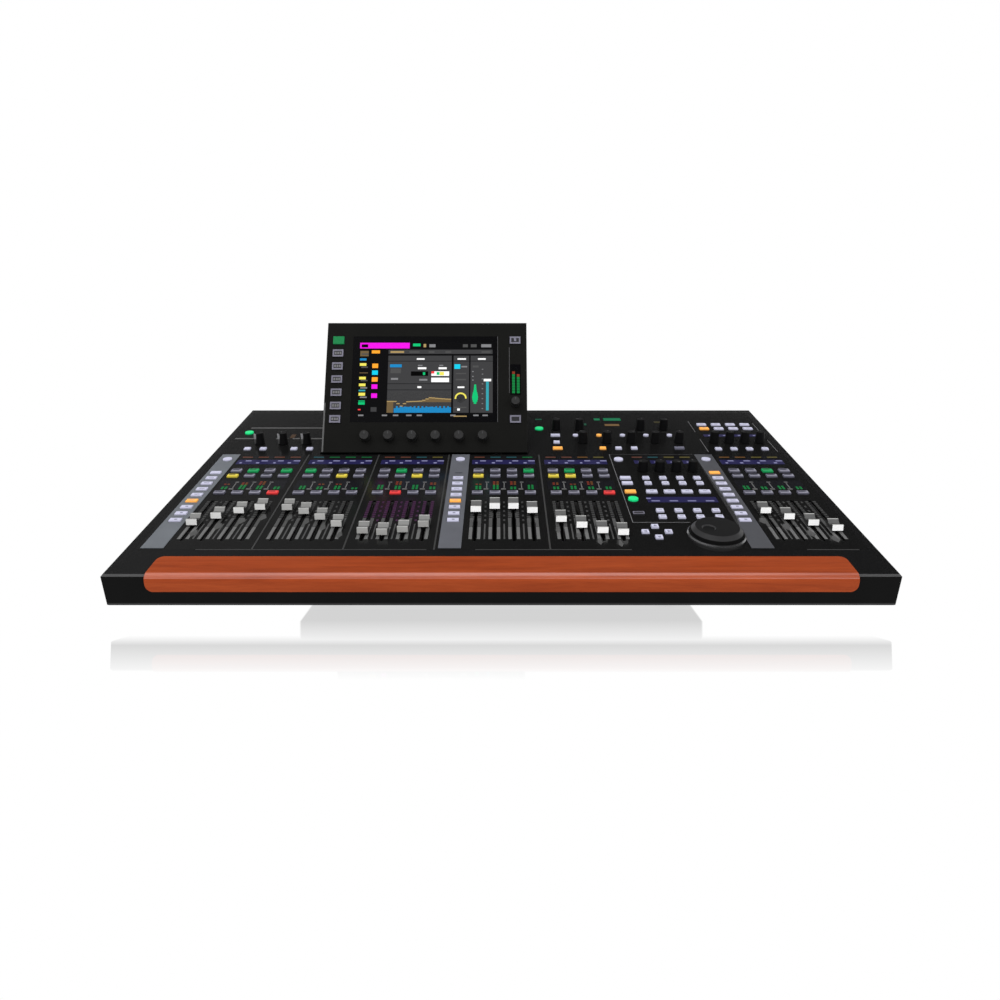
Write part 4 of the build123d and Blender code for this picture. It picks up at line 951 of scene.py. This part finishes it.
# Curve over a bar graph in the first pane.
GRAPH_LEFT, GRAPH_WIDTH, GRAPH_HEIGHT = *PANES[0], 34.0
CURVE = (
    22, 22, 22, 18.5, 14.5, 18.5, 21.5, 21.8, 22, 22.2,
    22.5, 23.8, 26, 28, 27.6, 27, 26.6, 26.2, 25.8, 25.6,
)
CURVE_STEP, CURVE_LINE, CURVE_FILL_TOP = GRAPH_WIDTH / len(CURVE), 1.5, 21.0
SPECTRUM_LEFT, SPECTRUM_PITCH, SPECTRUM_WIDTH, SPECTRUM_COUNT = 55.0, 3.0, 2.9, 29
block("soft", GRAPH_LEFT, PANE_LOW, GRAPH_WIDTH, GRAPH_HEIGHT, 2)
for index, level in enumerate(CURVE):
    left = GRAPH_LEFT + index * CURVE_STEP
    fill_low = PANE_LOW if index < 2 else min(CURVE_FILL_TOP, level - 1)
    block("brown", left, fill_low, CURVE_STEP, level - fill_low, 3)
    block("tan", left, level - 0.6, CURVE_STEP, CURVE_LINE, 4)
for index in range(SPECTRUM_COUNT):
    height = 7 + 3.5 * abs(math.sin(index * 1.7))
    block("blue", SPECTRUM_LEFT + index * SPECTRUM_PITCH, PANE_LOW, SPECTRUM_WIDTH, height, 5)

# Scales, fader and level meter in the last pane, marks at the lower edge, and a dial in the middle pane.
METER_MIDDLE, METER_LOW, METER_STEP = 178.5, 18.3, 3.14
METER_WIDTHS = (4, 7, 8.5, 9, 8, 7, 5, 4, 3.5, 3)
for row in range(9):
    block("light", 188.6, 10 + row * 8, 2.2, 1.2, 3)
for low in (56, 62, 70):
    block("light", 173.8, low, 2.2, 1.6, 3)
block("teal", 195.2, 7.6, 4.2, 47, 3)
block("white", 191.6, 54.8, 11.4, 4, 4)
for index, width in enumerate(METER_WIDTHS):
    block("green", METER_MIDDLE - width / 2, METER_LOW + index * METER_STEP, width, 3.0, 3)
for left in (1, 37, 54, 74, 90, 141, 176, 190):
    block("light", left, -1.4, 8, 2.4, 2)
DIAL_X, DIAL_UP, DIAL_RADIUS, ARC_RADIUS, ARC_WIDTH = PICTURE_X + 156.5, PICTURE_UP + 27.4, 7.6, 8.0, 2.4
ARC_ANGLES = [math.radians(188 - 16 * index) for index in range(13)]
arc = [(DIAL_X + ARC_RADIUS * math.cos(angle), DIAL_UP + ARC_RADIUS * math.sin(angle))
       for angle in ARC_ANGLES]
UI["black"].disc(DIAL_X, DIAL_UP, DIAL_RADIUS, LAYER, 2 * LAYER, sides=16)
UI["yellow"].path(arc, ARC_WIDTH, 2 * LAYER, 4 * LAYER)


# -------------------- marks beside the picture
SIDE_METERS = ((134.4, 8), (141.6, 7))
SIDE_METER_UP, SIDE_METER_STEP, SIDE_METER_SIZE = 96.5, 4.5, (4.4, 4.0)
meter_green = Marks("side_meter_green", "led_green", SCREEN)
meter_red = Marks("side_meter_red", "led_red", SCREEN)
for x, count in SIDE_METERS:
    for index in range(count):
        meter = meter_green if index < count - 1 else meter_red
        meter.bar(x, SIDE_METER_UP + index * SIDE_METER_STEP, *SIDE_METER_SIZE)

# Outlines round the screen keys: place from the key's middle, width and length of each side.
OUTLINE_SIDES = ((0, 4.7, 16.4, 2.4), (0, -4.7, 16.4, 2.4), (-7.1, 0, 2.2, 7.0), (7.1, 0, 2.2, 7.0))
outlines = Marks("screen_key_outlines", "print_lavender", SCREEN)
left_keys = [(-SCREEN_KEY_X, up) for up in SCREEN_KEY_UPS[1:]]
right_keys = [(SCREEN_KEY_X, SCREEN_KEY_UPS[0]), (SCREEN_KEY_X, SCREEN_KEY_UPS[-1])]
for x, up in left_keys + right_keys:
    for across, along, width, length in OUTLINE_SIDES:
        outlines.bar(x + across, up + along, width, length, *ON_SCREEN_KEYS)
outlines.bar(SCREEN_KEY_X, SCREEN_KEY_UPS[0] + 1.0, 3.6, 5.5, *ON_SCREEN_KEYS)
fills = Marks("screen_key_fills", "print_grey", SCREEN)
for x, up in left_keys:
    for across in (-3.6, 0.2, 3.8):
        fills.bar(x + across, up, 2.6, 4.0, *ON_SCREEN_KEYS)

THIN_LINE = 0.9
thin_lines = Marks("screen_lines", "print_dim", SCREEN)
for x, up, length in ((128.0, 132.5, 75.0), (110.0, 118.0, 140.0)):
    thin_lines.bar(x, up, THIN_LINE, length)
# Painted highlight along the left edge of the screen bezel.
edge = Marks("screen_edge_painted_highlight", "edge_highlight_grey", SCREEN)
edge.bar(-153.6, 40.0, 2.4, 78.0, -0.55, 0.02)

SCREEN_KNOBS = [(f"screen_encoder_{index + 1}", x, ENCODER_UP, 5.8) for index, x in enumerate(ENCODER_XS)]
SCREEN_KNOBS.append(("screen_level_knob", SCREEN_KEY_X, LEVEL_KNOB_UP, 5.5))
TICK_START, TICK_WIDTH = 1.5, 1.0
for knob, x, up, tick_end in SCREEN_KNOBS:
    tick = Marks(f"{knob}_tick", "print_dim", knob)
    tick.path([(x, up + TICK_START), (x, up + tick_end)], TICK_WIDTH, *ON_SCREEN_KNOBS)

# Every set of marks becomes a piece, in the order in which the sets were started.
for marks in Marks.made:
    marks.build()


# -------------------- floor, light and camera
WHITE = (1, 1, 1, 1)
FLOOR_GLOW, FLOOR_MIRROR, FLOOR_ROUGHNESS = 0.645, 0.355, 0.04

# Where the floor mirrors, in metres: under the base, whose sides run together, and ahead of the lip.
UNDER_FADE_Y = (-0.276, -0.364)
BASE_SIDE_Y, BASE_SIDE_X, BASE_SIDE_BLUR = (-0.279, -0.335), (0.2212, 0.2069), 0.002
AHEAD_START_Y, AHEAD_FADE_Y, AHEAD_SHARE = (-0.321, -0.3483), (-0.3483, -0.4306), 0.86
AHEAD_SIDE_X = (0.415, 0.44)
REAR_FADE_Y = (-0.2, 0.4)
FLOOR_SIZE, FLOOR_DROP = 60, 0.0005


def floor_material():
    """White floor with a faint mirror near the object, turning pure white away from it."""
    material, shader, bsdf = new_material("floor_white")
    shader.nodes.remove(bsdf)
    place = shader.add("TexCoord", "Object", {})
    across = shader.add("Math", "Value", {0: shader.axis(place, "X")}, operation="ABSOLUTE")
    back = shader.axis(place, "Y")
    base_side = shader.spread(back, *BASE_SIDE_Y, *BASE_SIDE_X)
    within_base = shader.spread(shader.join("SUBTRACT", across, base_side), 0.0, BASE_SIDE_BLUR, 1.0, 0.0)
    under = shader.join("MULTIPLY", shader.spread(back, *UNDER_FADE_Y, 1.0, 0.0), within_base)
    ahead = shader.join("MULTIPLY", shader.spread(back, *AHEAD_START_Y),
                        shader.spread(back, *AHEAD_FADE_Y, AHEAD_SHARE, 0.0))
    ahead = shader.join("MULTIPLY", ahead, shader.spread(across, *AHEAD_SIDE_X, 1.0, 0.0))
    clear = shader.join("MAXIMUM", under, ahead)
    share = shader.join("MULTIPLY", clear, shader.spread(back, *REAR_FADE_Y, 1.0, 0.0))
    white = shader.add("Emission", "Emission", {"Color": WHITE, "Strength": 1.0})
    glow = shader.add("Emission", "Emission", {"Color": (*grey(FLOOR_GLOW), 1), "Strength": 1.0})
    gloss = {"Color": (*grey(FLOOR_MIRROR), 1), "Roughness": FLOOR_ROUGHNESS}
    mirror = shader.add("BsdfGlossy", "BSDF", gloss)
    mirroring = shader.add("AddShader", "Shader", {0: glow, 1: mirror})
    shader.feed(shader.nodes["Material Output"], {"Surface": shader.mix(share, white, mirroring)})
    return material


bpy.ops.mesh.primitive_plane_add(size=FLOOR_SIZE, location=(0, 0, -FLOOR_DROP))
floor = bpy.context.object
floor.name = "floor"
floor.data.materials.append(floor_material())

# Area lights: name, place, width, length and power, all turned to the middle of the console.
LIGHT_TARGET = Vector((0, 0, 0.1))
LIGHTS = (
    ("key_light", (-0.9, -1.6, 2.2), 2.4, 1.6, 45),
    ("fill_light", (1.6, -1.4, 1.2), 1.8, 1.2, 16),
    ("top_light", (0.0, 0.4, 2.4), 2.4, 2.0, 22),
)
scene = bpy.context.scene
for name, location, width, length, power in LIGHTS:
    data = bpy.data.lights.new(name, "AREA")
    data.shape = "RECTANGLE"
    data.size, data.size_y = width, length
    data.energy = power
    light = bpy.data.objects.new(name, data)
    light.location = location
    light.rotation_euler = (LIGHT_TARGET - Vector(location)).to_track_quat("-Z", "Y").to_euler()
    light.visible_glossy = False
    scene.collection.objects.link(light)

world = bpy.data.worlds.new("studio")
scene.world = world
world.use_nodes = True
studio = Shader(world.node_tree)


def world_shade(strength):
    return studio.add("Background", "Background", {"Color": WHITE, "Strength": strength})


def ray(kind):
    return studio.add("LightPath", f"Is {kind} Ray", {})


# Soft fill for the object, and white for the camera. Reflections meet white low down, dark above
# that, lighter to the left, and a soft box overhead. The ranges are of parts of a ray's direction.
FILL_STRENGTH, SOFTBOX_STRENGTH = 0.55, 0.9
HORIZON, SOFTBOX_EDGE, DARK_RISE = (0.446, 0.414), (0.86, 0.95), (0.5, 0.66)
DARK_LEFTWARD, DARK_STRENGTHS, DARK_LOW_SHARE = (0.05, -0.6), (0.035, 0.36), 0.25
fill = studio.nodes["Background"]
studio.feed(fill, {"Color": WHITE, "Strength": FILL_STRENGTH})
plain = world_shade(1.0)
toward = studio.add("TexCoord", "Generated", {})
height = studio.axis(toward, "Z")
low = studio.spread(height, *HORIZON, interpolation_type="SMOOTHSTEP")
over = studio.spread(height, *SOFTBOX_EDGE, interpolation_type="SMOOTHSTEP")
leftward = studio.spread(studio.axis(toward, "X"), *DARK_LEFTWARD, *DARK_STRENGTHS)
rising = studio.spread(height, *DARK_RISE, DARK_LOW_SHARE)
dark = world_shade(studio.join("MULTIPLY", leftward, rising))
mirrored = studio.mix(low, studio.mix(over, dark, world_shade(SOFTBOX_STRENGTH)), plain)
shade = studio.mix(ray("Glossy"), fill.outputs["Background"], mirrored)
seen_plain = studio.join("MAXIMUM", ray("Camera"), ray("Transmission"))
studio.feed(studio.nodes["World Output"], {"Surface": studio.mix(seen_plain, shade, plain)})

CAMERA_PLACE, CAMERA_TILT = (-0.0014, -1.08644, 0.3005), 78.52
SENSOR_WIDTH, FOCAL_LENGTH = 36.0, 27.7
scene.view_settings.view_transform = "Standard"
camera_data = bpy.data.cameras.new("camera")
camera_data.sensor_width = SENSOR_WIDTH
camera_data.lens = FOCAL_LENGTH
camera = bpy.data.objects.new("camera", camera_data)
camera.location = CAMERA_PLACE
camera.rotation_euler = (math.radians(CAMERA_TILT), 0, 0)
scene.collection.objects.link(camera)
scene.camera = camera
